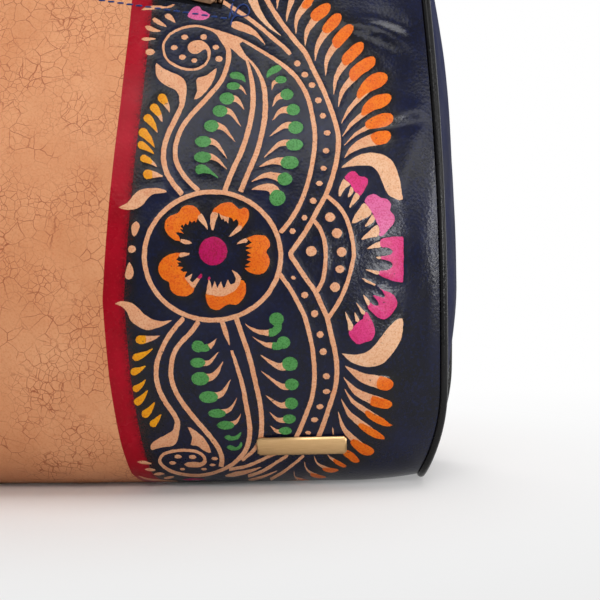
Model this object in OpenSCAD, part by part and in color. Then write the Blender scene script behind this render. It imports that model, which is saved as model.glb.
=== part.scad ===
// Soft leather shoulder bag with a wrap-under front and back, teardrop side gussets, corded piping,
// a zip along the top edge, a slanting zip pocket in the front and a pair of rolled handles.
// Millimetres, +Z up, +X along the width, front towards -Y, origin on the floor under the middle.

/* [Body] */
// Height of the body from the floor to the top edge
body_h = 272; // [262:1:284]
// Half of the width between the side seams at their widest
seam_half_w = 176; // [168:1:190]
// Height at which the body is widest and deepest
belly_z = 90; // [82:1:98]
// Half of the depth in the middle of the belly
belly_half_d = 70; // [66:1:75]
// Half of the depth at the side seams
seam_half_d = 50; // [46:1:54]
// Half of the depth of the flat base
base_half_d = 24; // [20:1:28]
// Half of the depth just under the rolled top edge
shoulder_half_d = 14; // [13.5:0.5:15.5]
// The same half depth at the side seams
seam_shoulder_half_d = 11; // [10.5:0.5:12]
// Height of the rolled top edge
top_roll_h = 9; // [8.5:0.5:11]
// How far each side leans in between the belly and the top edge
side_lean = 13; // [9:1:18]
// How far each seam tucks in under the base
corner_tuck = 11; // [7:1:15]
// Thickness of the leather
leather_t = 1.3; // [1:0.1:1.5]

/* [Gussets and piping] */
// How far a side gusset swells out past its seam
gusset_swell = 4.8; // [2:0.2:7]
// Diameter of the piping
piping_d = 3.6; // [3:0.2:4.4]

/* [Zips] */
// Space between each end of the top zip's chain and the end of its tapes
top_chain_end = 10; // [6:1:20]
// Length of the pocket zip's chain
pocket_chain_len = 132; // [110:2:136]
// Distance between two teeth of one row
tooth_pitch = 2.4; // [2:0.1:3]
// Width of the closed chain
chain_w = 5.2; // [4.8:0.1:5.6]
// Thickness of the chain
chain_t = 2.4; // [2:0.1:2.6]
// Thickness of the zip tapes
tape_t = 0.6; // [0.4:0.1:0.8]
// Width of each top zip tape
top_tape_w = 5; // [4.5:0.25:5.25]
// Width of each pocket zip tape
pocket_tape_w = 9; // [8:0.5:10]
// Width of the slot between the two top edges
top_slot_w = 10.6; // [10.2:0.2:11]
// Length of a slider
slider_len = 11; // [10:0.5:13]
// Width of a slider at its wide end
slider_w = 8.6; // [8.4:0.1:9]
// Length of a pull from its pin to its end
pull_len = 26; // [20:1:32]
// Width of a pull
pull_w = 7; // [6.4:0.2:9]
// Thickness of a pull
pull_t = 1.3; // [1:0.1:1.5]

/* [Front pocket] */
// Distance of the pocket zip's middle below the top edge
pocket_below_top = 47.5; // [45:0.5:56]
// Distance of the pocket zip's middle from the middle of the front
pocket_x = 16; // [10:1:20]
// Angle at which the pocket zip slants down to the right
pocket_slant = 11; // [4:1:14]
// Height of the pocket's window in the leather
window_h = 12; // [11:0.5:13]
// Depth of the pocket's pouch below its zip
pouch_drop = 85; // [60:5:90]

/* [Handles] */
// Half of the distance between the ends of a handle
handle_half_span = 84; // [82:1:92]
// Height of a handle above the top edge
handle_drop = 215; // [170:5:250]
// Diameter of the rolled part of a handle
handle_d = 11; // [9:0.5:13]
// Width of the flat sewn ends
handle_end_w = 24; // [18:1:26]
// Thickness of the flat sewn ends
handle_end_t = 3; // [2.4:0.2:4]
// Length of the flat sewn ends
handle_end_len = 34; // [28:1:36]

/* [Name plate] */
// Width of the blank plate
plate_w = 38; // [30:1:44]
// Height of the blank plate
plate_h = 8.8; // [6:0.2:9]
// Thickness of the blank plate
plate_t = 1.2; // [0.8:0.1:1.6]
// Distance of the plate's middle from the widest part of the side seam
plate_from_seam = 61; // [56:1:72]
// Height of the plate's middle above the floor
plate_z = 20.5; // [16:0.5:26]

/* [Inside] */
// Thickness of the lining
lining_t = 0.5; // [0.4:0.1:0.8]
// Space between the belly and the lining
lining_gap = 10; // [9:0.5:13]
// Thickness of the base board
board_t = 2; // [1.5:0.25:3]

/* [Hidden] */
$fn = 48;

navy = [0.07, 0.08, 0.16];
black = [0.05, 0.05, 0.055];
gold = [0.72, 0.57, 0.36];
brass = [0.55, 0.42, 0.28];
canvas = [0.30, 0.25, 0.20];
board_grey = [0.35, 0.35, 0.34];

// Space between pieces that lie against each other
gap = 0.3;
piping_r = piping_d / 2;
// Space between the middle of the piping and the edges of the leather beside it
seam_gap = piping_r + gap;
// Height of the seam's middle above the floor under the base
seam_base_z = piping_r + 0.8;
// How much lower the seam ends than the top edge
seam_top_drop = 1.2;
shoulder_z = body_h - top_roll_h;
lip_half = top_slot_w / 2;
// How far the seams draw in from the belly down to the floor
side_foot_lean = 2.5;
// Height over which the seams tuck in at the base
corner_tuck_h = 42;
// Heights at which a gusset's swell starts and is full, and the height over which it ends at the shoulder
swell_start_z = 30;
swell_full_z = belly_z - 6;
swell_end_h = 83;
// Share of the half width at which the base starts to lift towards the seam
base_lift_start = 0.8;
// Share and powers of the two terms that round the wall off towards the side seams
end_share = 0.55;
end_power_wide = 3;
end_power_edge = 14;
// Depth lost per height where the wall reaches the shoulder, in the middle and at the seams
shoulder_slope = 0.38;
seam_shoulder_slope = 0.34;

// Middle of a chain below the top edge, or behind the front at the pocket
chain_drop = 3.2;
top_chain_z = body_h - chain_drop;
chain_half = chain_w / 2;
tape_half = tape_t / 2;
// Slot between the two rows of teeth, in which the slider's web runs
row_slot = 1.1;
web_t = 0.5;
// Bead that the teeth of a row stand on
bead_w = 1.3;
// Where a tape starts, just clear of the bead
tape_edge = chain_half + 0.1;
tooth_neck = 0.7;
tooth_head = 1.0;
plate_gap = 0.35;
slider_plate_t = 1.2;
slider_taper = 1.4;
slider_flange_w = 0.6;
slider_top = chain_t / 2 + plate_gap + slider_plate_t;
arch_len = 8.4;
arch_w = 2.2;
arch_h = 3.6;
arch_wall = 1.1;
pin_r = 0.55;
pin_z = slider_top + arch_h - arch_wall - pin_r - gap;
pull_arm_gap = 0.4;
pull_arm_w = 1.1;
// Distance from the pin to the solid part of a pull, past the end of the arch
pull_neck = arch_len / 2 + 1.3;
// Space between the ends of the top tapes and the piping
top_tape_end = 6.5;
stop_len = 2.7;
stop_w = 1.9;
stop_t = 3;
// Space between a slider and the end of its chain
slider_end = 0.5;
pocket_slider_x = pocket_chain_len / 2 - slider_len / 2 - slider_end;
// Length of the pocket's window past each end of its chain, and of the tapes past the window
window_end = 3.4;
window_len = pocket_chain_len + 2 * window_end;
pocket_tape_len = window_len + 8;
// Depth of the cut that makes the window, to either side of the leather
window_cut = 9;

lining_base_z = leather_t + gap + board_t + gap;
lining_top_half = chain_half + top_tape_w - 0.6;
// Space between the lining and the side seams, taken a little lower down where the corners tuck in
lining_end_gap = 3;
lining_sink = 4;
lining_slope = 0.2;
board_inset = 0.5;
board_corner_r = 8;

// Basic curves

function mix(a, b, t) = a + (b - a) * t;

function bezier(p, t) =
    pow(1 - t, 3) * p[0] + 3 * t * pow(1 - t, 2) * p[1] + 3 * t * t * (1 - t) * p[2] + pow(t, 3) * p[3];

function unit(a) = a / norm(a);

// Half section of the body as [depth, height]. v runs 0 to 1 along the flat base, to 2 up the
// belly, to 3 up to the shoulder and to 4 over the rolled top edge.
function half_section(v, depth, flat, base_z, top_z, roll_z, shoulder, lip, slope) =
    let (rise = roll_z - belly_z, roll = top_z - roll_z)
    v <= 1 ? [mix(gap / 2, flat, v), base_z]
    : v <= 2 ? bezier([
        [flat, base_z], [mix(flat, depth, 0.76), base_z],
        [depth, mix(base_z, belly_z, 0.36)], [depth, belly_z]], v - 1)
    : v <= 3 ? bezier([
        [depth, belly_z], [depth, belly_z + 0.33 * rise],
        [shoulder + slope * 0.36 * rise, roll_z - 0.36 * rise], [shoulder, roll_z]], v - 2)
    : bezier([
        [shoulder, roll_z], [shoulder - slope * 0.5 * roll, roll_z + 0.6 * roll],
        [mix(lip, shoulder, 0.6), top_z], [lip, top_z]], v - 3);

function middle_section(v) = half_section(
    v, belly_half_d, base_half_d, 0, body_h, shoulder_z, shoulder_half_d, lip_half, shoulder_slope);

function seam_section(v) = half_section(
    v, seam_half_d, base_half_d - 1, seam_base_z, body_h - seam_top_drop, shoulder_z,
    seam_shoulder_half_d, lip_half, seam_shoulder_slope);

function lining_section(v) = half_section(
    v, belly_half_d - lining_gap, base_half_d, lining_base_z, body_h,
    top_chain_z - tape_half - gap, lining_top_half, lip_half, lining_slope);

// Half width of the seams at a height
function seam_x(z) =
    let (up = max(0, z - belly_z) / (body_h - belly_z), down = max(0, belly_z - z) / belly_z)
    seam_half_w - side_lean * up * up - side_foot_lean * down * down
    - corner_tuck * pow(max(0, 1 - z / corner_tuck_h), 2);

// Share of the way from the middle section to the seam section, at a share of the half width
function end_blend(s) = end_share * pow(s, end_power_wide) + (1 - end_share) * pow(s, end_power_edge);

function end_steepness() = end_share * end_power_wide + (1 - end_share) * end_power_edge;

function base_lift(s) = pow(max(0, (s - base_lift_start) / (1 - base_lift_start)), 2);

// Point of the front wall at a share s of the half width, which may be negative
function front_wall(s, v) =
    let (
        m = middle_section(v), e = seam_section(v), a = abs(s),
        depth = mix(m[0], e[0], end_blend(a)), z = mix(m[1], e[1], base_lift(a))
    )
    [s * seam_x(e[1]), -depth, z];

// Share of the half width at which the wall's edge stands beside the piping
function edge_share(v) =
    let (
        m = middle_section(v), e = seam_section(v), x = seam_x(e[1]),
        slope = end_steepness() * (m[0] - e[0]) / x
    )
    1 - seam_gap / (x * sqrt(1 + slope * slope));

// Place up the front wall whose middle is at height z
function wall_v(z, low = 1, high = 4, steps = 26) =
    let (m = (low + high) / 2)
    steps == 0 ? m
    : middle_section(m)[1] < z ? wall_v(z, m, high, steps - 1) : wall_v(z, low, m, steps - 1);

function wall_at(x, v) = front_wall(x / seam_x(seam_section(v)[1]), v);

function wall_normal(x, v) =
    let (d = 0.01)
    unit(cross(wall_at(x + 1, v) - wall_at(x - 1, v), wall_at(x, v + d) - wall_at(x, v - d)));

// Thin sheets and tubes as closed meshes

function grid_normal(g, i, j) =
    let (
        n = len(g) - 1, m = len(g[0]) - 1,
        up = g[min(i + 1, n)][j] - g[max(i - 1, 0)][j],
        along = g[i][min(j + 1, m)] - g[i][max(j - 1, 0)]
    )
    unit(cross(along, up));

// A sheet of thickness t behind the grid of points g, whose rows run up and columns run across
module sheet(g, t) {
    rows = len(g);
    cols = len(g[0]);
    inner = rows * cols;
    points = concat(
        [for (i = [0:rows - 1], j = [0:cols - 1]) g[i][j]],
        [for (i = [0:rows - 1], j = [0:cols - 1]) g[i][j] - t * grid_normal(g, i, j)]);
    skin = [for (i = [0:rows - 2], j = [0:cols - 2])
        [i * cols + j, i * cols + j + 1, (i + 1) * cols + j + 1, (i + 1) * cols + j]];
    rim = concat(
        [for (j = [0:cols - 2]) [j + 1, j]],
        [for (j = [0:cols - 2]) [(rows - 1) * cols + j, (rows - 1) * cols + j + 1]],
        [for (i = [0:rows - 2]) [i * cols, (i + 1) * cols]],
        [for (i = [0:rows - 2]) [(i + 2) * cols - 1, (i + 1) * cols - 1]]);
    outer_faces = [for (q = skin, k = [0:1]) [q[0], q[k + 2], q[k + 1]]];
    inner_faces = [for (q = skin, k = [0:1]) [q[0] + inner, q[k + 1] + inner, q[k + 2] + inner]];
    rim_faces = [for (e = rim, k = [0:1])
        k == 0 ? [e[0], e[1] + inner, e[1]] : [e[0], e[0] + inner, e[1] + inner]];
    polyhedron(points, concat(outer_faces, inner_faces, rim_faces));
}

// A tube through rings of points, closed at both ends
module ringed_tube(rings) {
    n = len(rings);
    sides = len(rings[0]);
    points = [for (r = rings, p = r) p];
    walls = [for (i = [0:n - 2], k = [0:sides - 1], half = [0:1])
        let (a = i * sides + k, b = i * sides + (k + 1) % sides)
        half == 0 ? [a, b + sides, b] : [a, a + sides, b + sides]];
    ends = [[for (k = [0:sides - 1]) k], [for (k = [sides - 1:-1:0]) (n - 1) * sides + k]];
    polyhedron(points, concat(walls, ends));
}

function path_tangent(path, i) = unit(path[min(i + 1, len(path) - 1)] - path[max(i - 1, 0)]);

// Ring of an oval section round point i of a path, with half width a across `side` and half thickness b
function oval_ring(path, i, side, a, b, sides, power = 2) =
    let (
        t = path_tangent(path, i), u = unit(side - (side * t) * t), w = cross(t, u)
    )
    [for (k = [0:sides - 1])
        let (
            c = cos(360 * (k + 0.5) / sides), s = sin(360 * (k + 0.5) / sides),
            x = a * sign(c) * pow(abs(c), 2 / power), y = b * sign(s) * pow(abs(s), 2 / power)
        )
        path[i] + x * u + y * w];

// Leather body

base_steps = 3;
belly_steps = 9;
upper_steps = 12;
roll_steps = 4;
half_columns = 11;

wall_rows = concat(
    [for (i = [0:base_steps - 1]) i / base_steps],
    [for (i = [0:belly_steps - 1]) 1 + i / belly_steps],
    [for (i = [0:upper_steps - 1]) 2 + i / upper_steps],
    [for (i = [0:roll_steps]) 3 + i / roll_steps]);

module wall_panel() {
    sheet([for (v = wall_rows)
        [for (j = [-half_columns:half_columns]) front_wall(sin(90 * j / half_columns) * edge_share(v), v)]],
        leather_t);
}

module front_panel() {
    color(navy) difference() {
        wall_panel();
        on_pocket() cube([window_len, window_h, 2 * window_cut], center = true);
    }
}

module back_panel() {
    color(navy) rotate([0, 0, 180]) wall_panel();
}

gusset_top_v = 3.7;
gusset_rows = concat(
    [for (i = [0:7]) 1 + i / 8], [for (i = [0:9]) 2 + i / 10], [3, (3 + gusset_top_v) / 2, gusset_top_v]);
gusset_columns = 3;

// Seam section drawn in by the seam gap, which is where the gusset's edge runs
function gusset_edge(v) =
    let (d = 0.005, t = unit(seam_section(v + d) - seam_section(v - d)))
    v <= 1 ? seam_section(1) + [0, seam_gap] : seam_section(v) + seam_gap * [-t[1], t[0]];

function smooth(t) = let (c = min(1, max(0, t))) c * c * (3 - 2 * c);

function swell_share(z) =
    smooth((z - swell_start_z) / (swell_full_z - swell_start_z)) * smooth((shoulder_z - z) / swell_end_h);

module side_gusset() {
    sheet([for (v = gusset_rows)
        let (e = gusset_edge(v), swell = gusset_swell * swell_share(e[1]))
        [for (j = [-gusset_columns:gusset_columns])
            let (t = j / gusset_columns)
            [seam_x(seam_section(v)[1]) + swell * (1 - t * t), t * e[0], e[1]]]],
        leather_t);
}

module gusset_right() {
    color(navy) side_gusset();
}

module gusset_left() {
    color(navy) rotate([0, 0, 180]) side_gusset();
}

piping_sides = 8;
piping_half = concat(
    [for (i = [0:3]) 4 - i / 3], [for (i = [1:12]) 3 - i / 12], [for (i = [1:9]) 2 - i / 9],
    [for (i = [1:2]) 1 - i / 3]);

module side_piping() {
    front = [for (v = piping_half) let (e = seam_section(v)) [seam_x(e[1]), -e[0], e[1]]];
    back = [for (i = [len(front) - 1:-1:0]) let (p = front[i]) [p[0], -p[1], p[2]]];
    path = concat(front, back);
    ringed_tube([for (i = [0:len(path) - 1])
        oval_ring(path, i, [1, 0, 0], piping_r, piping_r, piping_sides)]);
}

module piping_right() {
    color(black) side_piping();
}

module piping_left() {
    color(black) rotate([0, 0, 180]) side_piping();
}

// Lining and base board

lining_rows = [for (i = [0:11]) 1 + i / 5.5];
lining_points = 26;
lining_power = 4;

function lining_loop(v, inset, lift) =
    let (e = lining_section(v), a = seam_x(e[1] - lining_sink) - lining_end_gap - inset, b = e[0] - inset)
    [for (k = [0:lining_points - 1])
        let (c = cos(360 * k / lining_points), s = sin(360 * k / lining_points))
        [a * sign(c) * pow(abs(c), 2 / lining_power), b * sign(s) * pow(abs(s), 2 / lining_power), e[1] + lift]];

module lining() {
    top = len(lining_rows) - 1;
    color(canvas) ringed_tube(concat(
        [for (v = lining_rows) lining_loop(v, 0, 0)],
        [for (i = [top:-1:0]) lining_loop(lining_rows[i], lining_t, i == top ? 0 : lining_t)]));
}

module base_board() {
    half_l = base_lift_start * seam_x(0) - board_inset;
    half_d = base_half_d - board_inset;
    color(board_grey) translate([0, 0, leather_t + gap])
        linear_extrude(board_t) offset(r = board_corner_r)
            square(2 * [half_l - board_corner_r, half_d - board_corner_r], center = true);
}

// Zip pieces. A chain lies along X in the plane z = 0, with one row on each side of y = 0.

// Outline of one row of teeth for a chain of length l, standing on its bead at negative y
function row_outline(l) =
    let (
        count = floor(l / tooth_pitch) - 1, first = (0.5 - count) * tooth_pitch / 2,
        tip = -row_slot / 2, root = -chain_half + bead_w
    )
    concat(
        [[-l / 2, -chain_half], [-l / 2, root]],
        [for (i = [0:count], p = [
            [-tooth_neck / 2, root], [-tooth_head / 2, mix(root, tip, 0.6)], [-tooth_neck / 2, tip],
            [tooth_neck / 2, tip], [tooth_head / 2, mix(root, tip, 0.6)], [tooth_neck / 2, root]])
            [first + i * tooth_pitch + p[0], p[1]]],
        [[l / 2, root], [l / 2, -chain_half]]);

// The row of teeth on one side of a chain, and the tape beside it
module zip_teeth(l, side) {
    rotate([0, 0, side > 0 ? 180 : 0]) linear_extrude(chain_t, center = true) polygon(row_outline(l));
}

module zip_tape(l, w, side) {
    translate([-l / 2, side > 0 ? tape_edge : -tape_edge - w, -tape_half]) cube([l, w, tape_t]);
}

// Stops at both ends of a chain, one on each tape
module zip_stops(l) {
    for (turn = [0, 180], low = [-chain_half + gap, chain_half - gap - stop_w])
        rotate([0, 0, turn]) translate([l / 2 + gap, low, -stop_t / 2]) cube([stop_len, stop_w, stop_t]);
}

module slider_plate() {
    front = slider_w / 2;
    rear = front - slider_taper / 2;
    half_l = slider_len / 2;
    linear_extrude(slider_plate_t)
        polygon([[-half_l, -rear + 0.8], [-half_l + 0.8, -rear], [half_l - 1.5, -front], [half_l, -front + 1.5],
            [half_l, front - 1.5], [half_l - 1.5, front], [-half_l + 0.8, rear], [-half_l, rear - 0.8]]);
}

// Rims that turn in from a plate towards the tape, outside the chain
module slider_flanges() {
    inner = chain_half + 0.4;
    rear = slider_w / 2 - slider_taper / 2;
    height = chain_t / 2 + plate_gap - tape_half - gap;
    half_l = slider_len / 2 - 1.5;
    for (side = [-1, 1])
        translate([0, 0, tape_half + gap]) linear_extrude(height + 0.1)
            polygon([[-half_l, side * inner], [half_l, side * inner],
                [half_l, side * slider_w / 2], [-half_l, side * rear]]);
}

module slider_arch() {
    outer = arch_len / 2;
    inner = outer - arch_wall;
    inner_h = arch_h - arch_wall;
    translate([0, arch_w / 2, slider_top]) rotate([90, 0, 0]) linear_extrude(arch_w)
        polygon([[-outer, -0.1], [-outer, arch_h - 1.2], [-outer + 1.2, arch_h], [outer - 1.2, arch_h],
            [outer, arch_h - 1.2], [outer, -0.1], [inner, -0.1], [inner, inner_h - 0.5], [inner - 0.5, inner_h],
            [-inner + 0.5, inner_h], [-inner, inner_h - 0.5], [-inner, -0.1]]);
}

module zip_slider() {
    plate_z0 = chain_t / 2 + plate_gap;
    for (side = [0, 1])
        mirror([0, 0, side]) {
            translate([0, 0, plate_z0]) slider_plate();
            slider_flanges();
        }
    translate([1, -web_t / 2, -plate_z0 - 0.1]) cube([slider_len / 2 - 2, web_t, 2 * plate_z0 + 0.2]);
    slider_arch();
}

// Pull whose pin lies along Y at the origin and whose tab points towards -X
module zip_pull() {
    arm_y = arch_w / 2 + pull_arm_gap;
    pin_l = 2 * (arm_y + pull_arm_w);
    end_r = pull_w / 2;
    rotate([90, 0, 0]) cylinder(h = pin_l, r = pin_r, center = true);
    for (side = [-1, 1])
        translate([0, side * (arm_y + pull_arm_w / 2), 0]) {
            rotate([90, 0, 0]) cylinder(h = pull_arm_w, r = pull_t / 2, center = true);
            translate([-(pull_neck + 0.5) / 2, 0, 0]) cube([pull_neck + 0.5, pull_arm_w, pull_t], center = true);
        }
    translate([0, 0, -pull_t / 2]) linear_extrude(pull_t) difference() {
        union() {
            translate([-pull_len + end_r, 0]) circle(end_r);
            translate([-pull_len + end_r, -end_r]) square([pull_len - end_r - pull_neck, pull_w]);
        }
        translate([-pull_len + end_r, 0]) circle(end_r - 1.7);
    }
}

// Top zip

top_tape_half_len = seam_x(body_h - seam_top_drop) - piping_r - top_tape_end;
top_chain_len = 2 * (top_tape_half_len - top_chain_end);
top_slider_x = top_chain_len / 2 - slider_len / 2 - slider_end;

module on_top_chain() {
    translate([0, 0, top_chain_z]) children();
}

module top_zip_tape_front() {
    color(black) on_top_chain() zip_tape(2 * top_tape_half_len, top_tape_w, -1);
}

module top_zip_tape_back() {
    color(black) on_top_chain() zip_tape(2 * top_tape_half_len, top_tape_w, 1);
}

module top_zip_teeth_front() {
    color(brass) on_top_chain() zip_teeth(top_chain_len, -1);
}

module top_zip_teeth_back() {
    color(brass) on_top_chain() zip_teeth(top_chain_len, 1);
}

module top_zip_stops() {
    color(brass) on_top_chain() zip_stops(top_chain_len);
}

module top_zip_slider() {
    color(brass) on_top_chain() translate([top_slider_x, 0, 0]) zip_slider();
}

module top_zip_pull() {
    color(brass) on_top_chain() translate([top_slider_x, 0, pin_z]) zip_pull();
}

// Front pocket

pocket_z = body_h - pocket_below_top;
pocket_v = wall_v(pocket_z);
pocket_at = wall_at(pocket_x, pocket_v);
pocket_normal = wall_normal(pocket_x, pocket_v);
pocket_tilt = atan2(-pocket_normal[1], pocket_normal[2]);

// Turns flat pieces into the front wall's plane at the pocket, with x down along the zip and z outwards
module on_pocket() {
    translate(pocket_at) rotate([pocket_tilt, 0, 0]) rotate([0, 0, -pocket_slant]) children();
}

module on_pocket_chain() {
    on_pocket() translate([0, 0, -chain_drop]) children();
}

module pocket_zip_tape_upper() {
    color(black) on_pocket_chain() zip_tape(pocket_tape_len, pocket_tape_w, 1);
}

module pocket_zip_tape_lower() {
    color(black) on_pocket_chain() zip_tape(pocket_tape_len, pocket_tape_w, -1);
}

module pocket_zip_teeth_upper() {
    color(brass) on_pocket_chain() zip_teeth(pocket_chain_len, 1);
}

module pocket_zip_teeth_lower() {
    color(brass) on_pocket_chain() zip_teeth(pocket_chain_len, -1);
}

module pocket_zip_stops() {
    color(brass) on_pocket_chain() zip_stops(pocket_chain_len);
}

module pocket_zip_slider() {
    color(brass) on_pocket_chain() translate([pocket_slider_x, 0, 0]) zip_slider();
}

module pocket_zip_pull() {
    color(brass) on_pocket_chain() translate([pocket_slider_x, 0, pin_z]) zip_pull();
}

// Pouch of the pocket: a folded sheet behind the front wall, from one tape down and back up to the other.
pouch_t = 0.6;
pouch_front = chain_drop + tape_half + gap + pouch_t / 2;
pouch_back = chain_drop + slider_top + gap + pouch_t;
// Distance of the pouch's edges from the zip's middle
pouch_edge = tape_edge + pocket_tape_w - 2;

// Point on the pocket's cross section, a distance up the wall from the zip and a depth behind the wall's face
function pouch_point(up, behind) =
    let (
        v = wall_v(pocket_z + up * sin(pocket_tilt)), d = 0.01,
        m = middle_section(v), t = unit(middle_section(v + d) - middle_section(v - d)),
        p = m + behind * [-t[1], t[0]], y = -p[0] - pocket_at[1], z = p[1] - pocket_z
    )
    [y * cos(pocket_tilt) + z * sin(pocket_tilt), z * cos(pocket_tilt) - y * sin(pocket_tilt)];

pouch_line = concat(
    [for (i = [0:8]) pouch_point(-mix(pouch_edge, pouch_drop, i / 8), pouch_front)],
    [pouch_point(-pouch_drop - 1.2, (pouch_front + pouch_back) / 2)],
    [for (i = [0:9]) pouch_point(mix(-pouch_drop, pouch_edge - 3, i / 9), pouch_back)],
    [pouch_point(pouch_edge, pouch_front)]);

function line_side(line, i, d) =
    let (t = unit(line[min(i + 1, len(line) - 1)] - line[max(i - 1, 0)])) line[i] + d * [-t[1], t[0]];

module pocket_pouch() {
    n = len(pouch_line) - 1;
    color(canvas) on_pocket() rotate([90, 0, 90]) linear_extrude(pocket_chain_len, center = true)
        polygon(concat(
            [for (i = [0:n]) line_side(pouch_line, i, pouch_t / 2)],
            [for (i = [n:-1:0]) line_side(pouch_line, i, -pouch_t / 2)]));
}

// Handles

handle_sides = 10;
arch_steps = 34;
arch_power = 2.3;
end_steps = 5;
handle_end_z = shoulder_z - 1;
// Height over which a flat end closes up into the roll
handle_neck_h = 36;
// Distance of each handle's top from the middle
handle_top_y = 11;
end_offset = handle_end_t / 2 + gap;

// Middle line of a sewn end, from its lower tip up to where it leaves the wall
end_line = [for (i = [0:end_steps])
    let (v = wall_v(handle_end_z - handle_end_len * (1 - i / end_steps) * sin(pocket_tilt)))
    wall_at(handle_half_span, v) + end_offset * wall_normal(handle_half_span, v)];

// Upper arch of the handle from one sewn end to the other, with a share of the height at each point
arch_start = end_line[end_steps];
arch_rise = body_h + handle_drop - arch_start[2];
arch_line = [for (i = [1:arch_steps - 1])
    let (
        a = 180 * i / arch_steps, c = cos(a), up = pow(sin(a), 2 / arch_power),
        settle = 1 - exp(-up * arch_rise / 22)
    )
    [handle_half_span * sign(c) * pow(abs(c), 2 / arch_power),
        mix(arch_start[1], -handle_top_y, settle), arch_start[2] + up * arch_rise]];
handle_line = concat(
    end_line, arch_line,
    [for (i = [end_steps:-1:0]) [-end_line[i][0], end_line[i][1], end_line[i][2]]]);

// Share of the way from flat end to round roll at a height
function roll_share(z) =
    let (t = min(1, max(0, (z - arch_start[2]) / handle_neck_h))) t * t * (3 - 2 * t);

// Half width of a sewn end at a height, drawn in at its rounded tip
function end_half_width(z) =
    let (d = min(1, (z - end_line[0][2]) / (handle_end_w / 2)))
    handle_end_w / 2 * mix(0.45, 1, sqrt(1 - pow(1 - d, 2)));

module handle() {
    n = len(handle_line) - 1;
    ringed_tube([for (i = [0:n])
        let (z = handle_line[i][2], share = roll_share(z), turn = path_tangent(handle_line, i))
        oval_ring(handle_line, i, cross([0, 1, 0], turn),
            mix(end_half_width(z), handle_d / 2, share), mix(handle_end_t / 2, handle_d / 2, share),
            handle_sides, mix(5, 2, share))]);
}

module handle_front() {
    color(black) handle();
}

module handle_back() {
    color(black) rotate([0, 0, 180]) handle();
}

// Name plate

plate_corner_r = 0.8;

module name_plate() {
    v = wall_v(plate_z);
    plate_x = seam_half_w - plate_from_seam;
    n = wall_normal(plate_x, v);
    color(gold) translate(wall_at(plate_x, v) + gap * n)
        rotate([0, 0, atan2(n[0], -n[1])]) rotate([atan2(norm([n[0], n[1]]), n[2]), 0, 0])
            linear_extrude(plate_t)
                for (cut = [[0, 2 * plate_corner_r], [2 * plate_corner_r, 0]])
                    square([plate_w - cut[0], plate_h - cut[1]], center = true);
}

front_panel();
back_panel();
gusset_left();
gusset_right();
piping_left();
piping_right();
lining();
base_board();
handle_front();
handle_back();
name_plate();
top_zip_tape_front();
top_zip_tape_back();
top_zip_teeth_front();
top_zip_teeth_back();
top_zip_stops();
top_zip_slider();
top_zip_pull();
pocket_zip_tape_upper();
pocket_zip_tape_lower();
pocket_zip_teeth_upper();
pocket_zip_teeth_lower();
pocket_zip_stops();
pocket_zip_slider();
pocket_zip_pull();
pocket_pouch();
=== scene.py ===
"""Dresses the shoulder bag: painted leather walls, gussets, piping, handles, zips, plate and stitching."""

import bmesh
import bpy
import numpy as np
from mathutils import Matrix, Vector, noise
from mathutils.geometry import delaunay_2d_cdt
from mathutils.kdtree import KDTree


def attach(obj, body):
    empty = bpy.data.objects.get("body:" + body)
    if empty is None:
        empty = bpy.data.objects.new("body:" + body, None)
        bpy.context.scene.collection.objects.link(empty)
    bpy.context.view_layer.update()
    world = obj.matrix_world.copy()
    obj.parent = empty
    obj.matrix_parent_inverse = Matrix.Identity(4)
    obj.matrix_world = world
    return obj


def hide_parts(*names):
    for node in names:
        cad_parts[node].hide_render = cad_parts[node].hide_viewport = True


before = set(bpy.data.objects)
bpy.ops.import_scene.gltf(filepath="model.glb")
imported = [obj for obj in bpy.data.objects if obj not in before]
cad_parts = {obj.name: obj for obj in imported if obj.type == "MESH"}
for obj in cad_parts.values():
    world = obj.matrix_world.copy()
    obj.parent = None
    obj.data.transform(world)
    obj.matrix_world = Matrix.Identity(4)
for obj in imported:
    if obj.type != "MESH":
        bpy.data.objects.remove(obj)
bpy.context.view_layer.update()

MM = 0.001

# The bag's form in millimetres, with the values of the part's source

BODY_H, BELLY_Z, SHOULDER_Z = 272, 90, 263
GAP, SEAM_GAP, LEATHER_T, PIPING_R = 0.3, 2.1, 1.3, 1.8
SEAM_HALF_W, SIDE_LEAN, SIDE_FOOT_LEAN = 176, 13, 2.5
CORNER_TUCK, CORNER_TUCK_H = 11, 42
MIDDLE = dict(depth=70, flat=24, base=0, top=272, shoulder=14, slope=0.38)
SEAM = dict(depth=50, flat=23, base=2.6, top=270.8, shoulder=11, slope=0.34)
LIP = 5.3
TOP_V = 4
# Shares and powers by which the wall's depth goes over from its middle section to its seam section
BEND = ((0.55, 3), (0.45, 14))
# Share of the way to the seam over which the middle's heights hold
LEVEL_SHARE = 0.8


def mix(a, b, t):
    return a + (b - a) * t


def smooth(t):
    t = np.clip(t, 0, 1)
    return t * t * (3 - 2 * t)


def unit(a):
    return a / np.linalg.norm(a, axis=-1, keepdims=True)


def bezier(points, t):
    a, b, c, d = np.asarray(points, float)
    t = np.asarray(t, float)[..., None]
    return (1 - t) ** 3 * a + 3 * t * (1 - t) ** 2 * b + 3 * t * t * (1 - t) * c + t ** 3 * d


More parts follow.
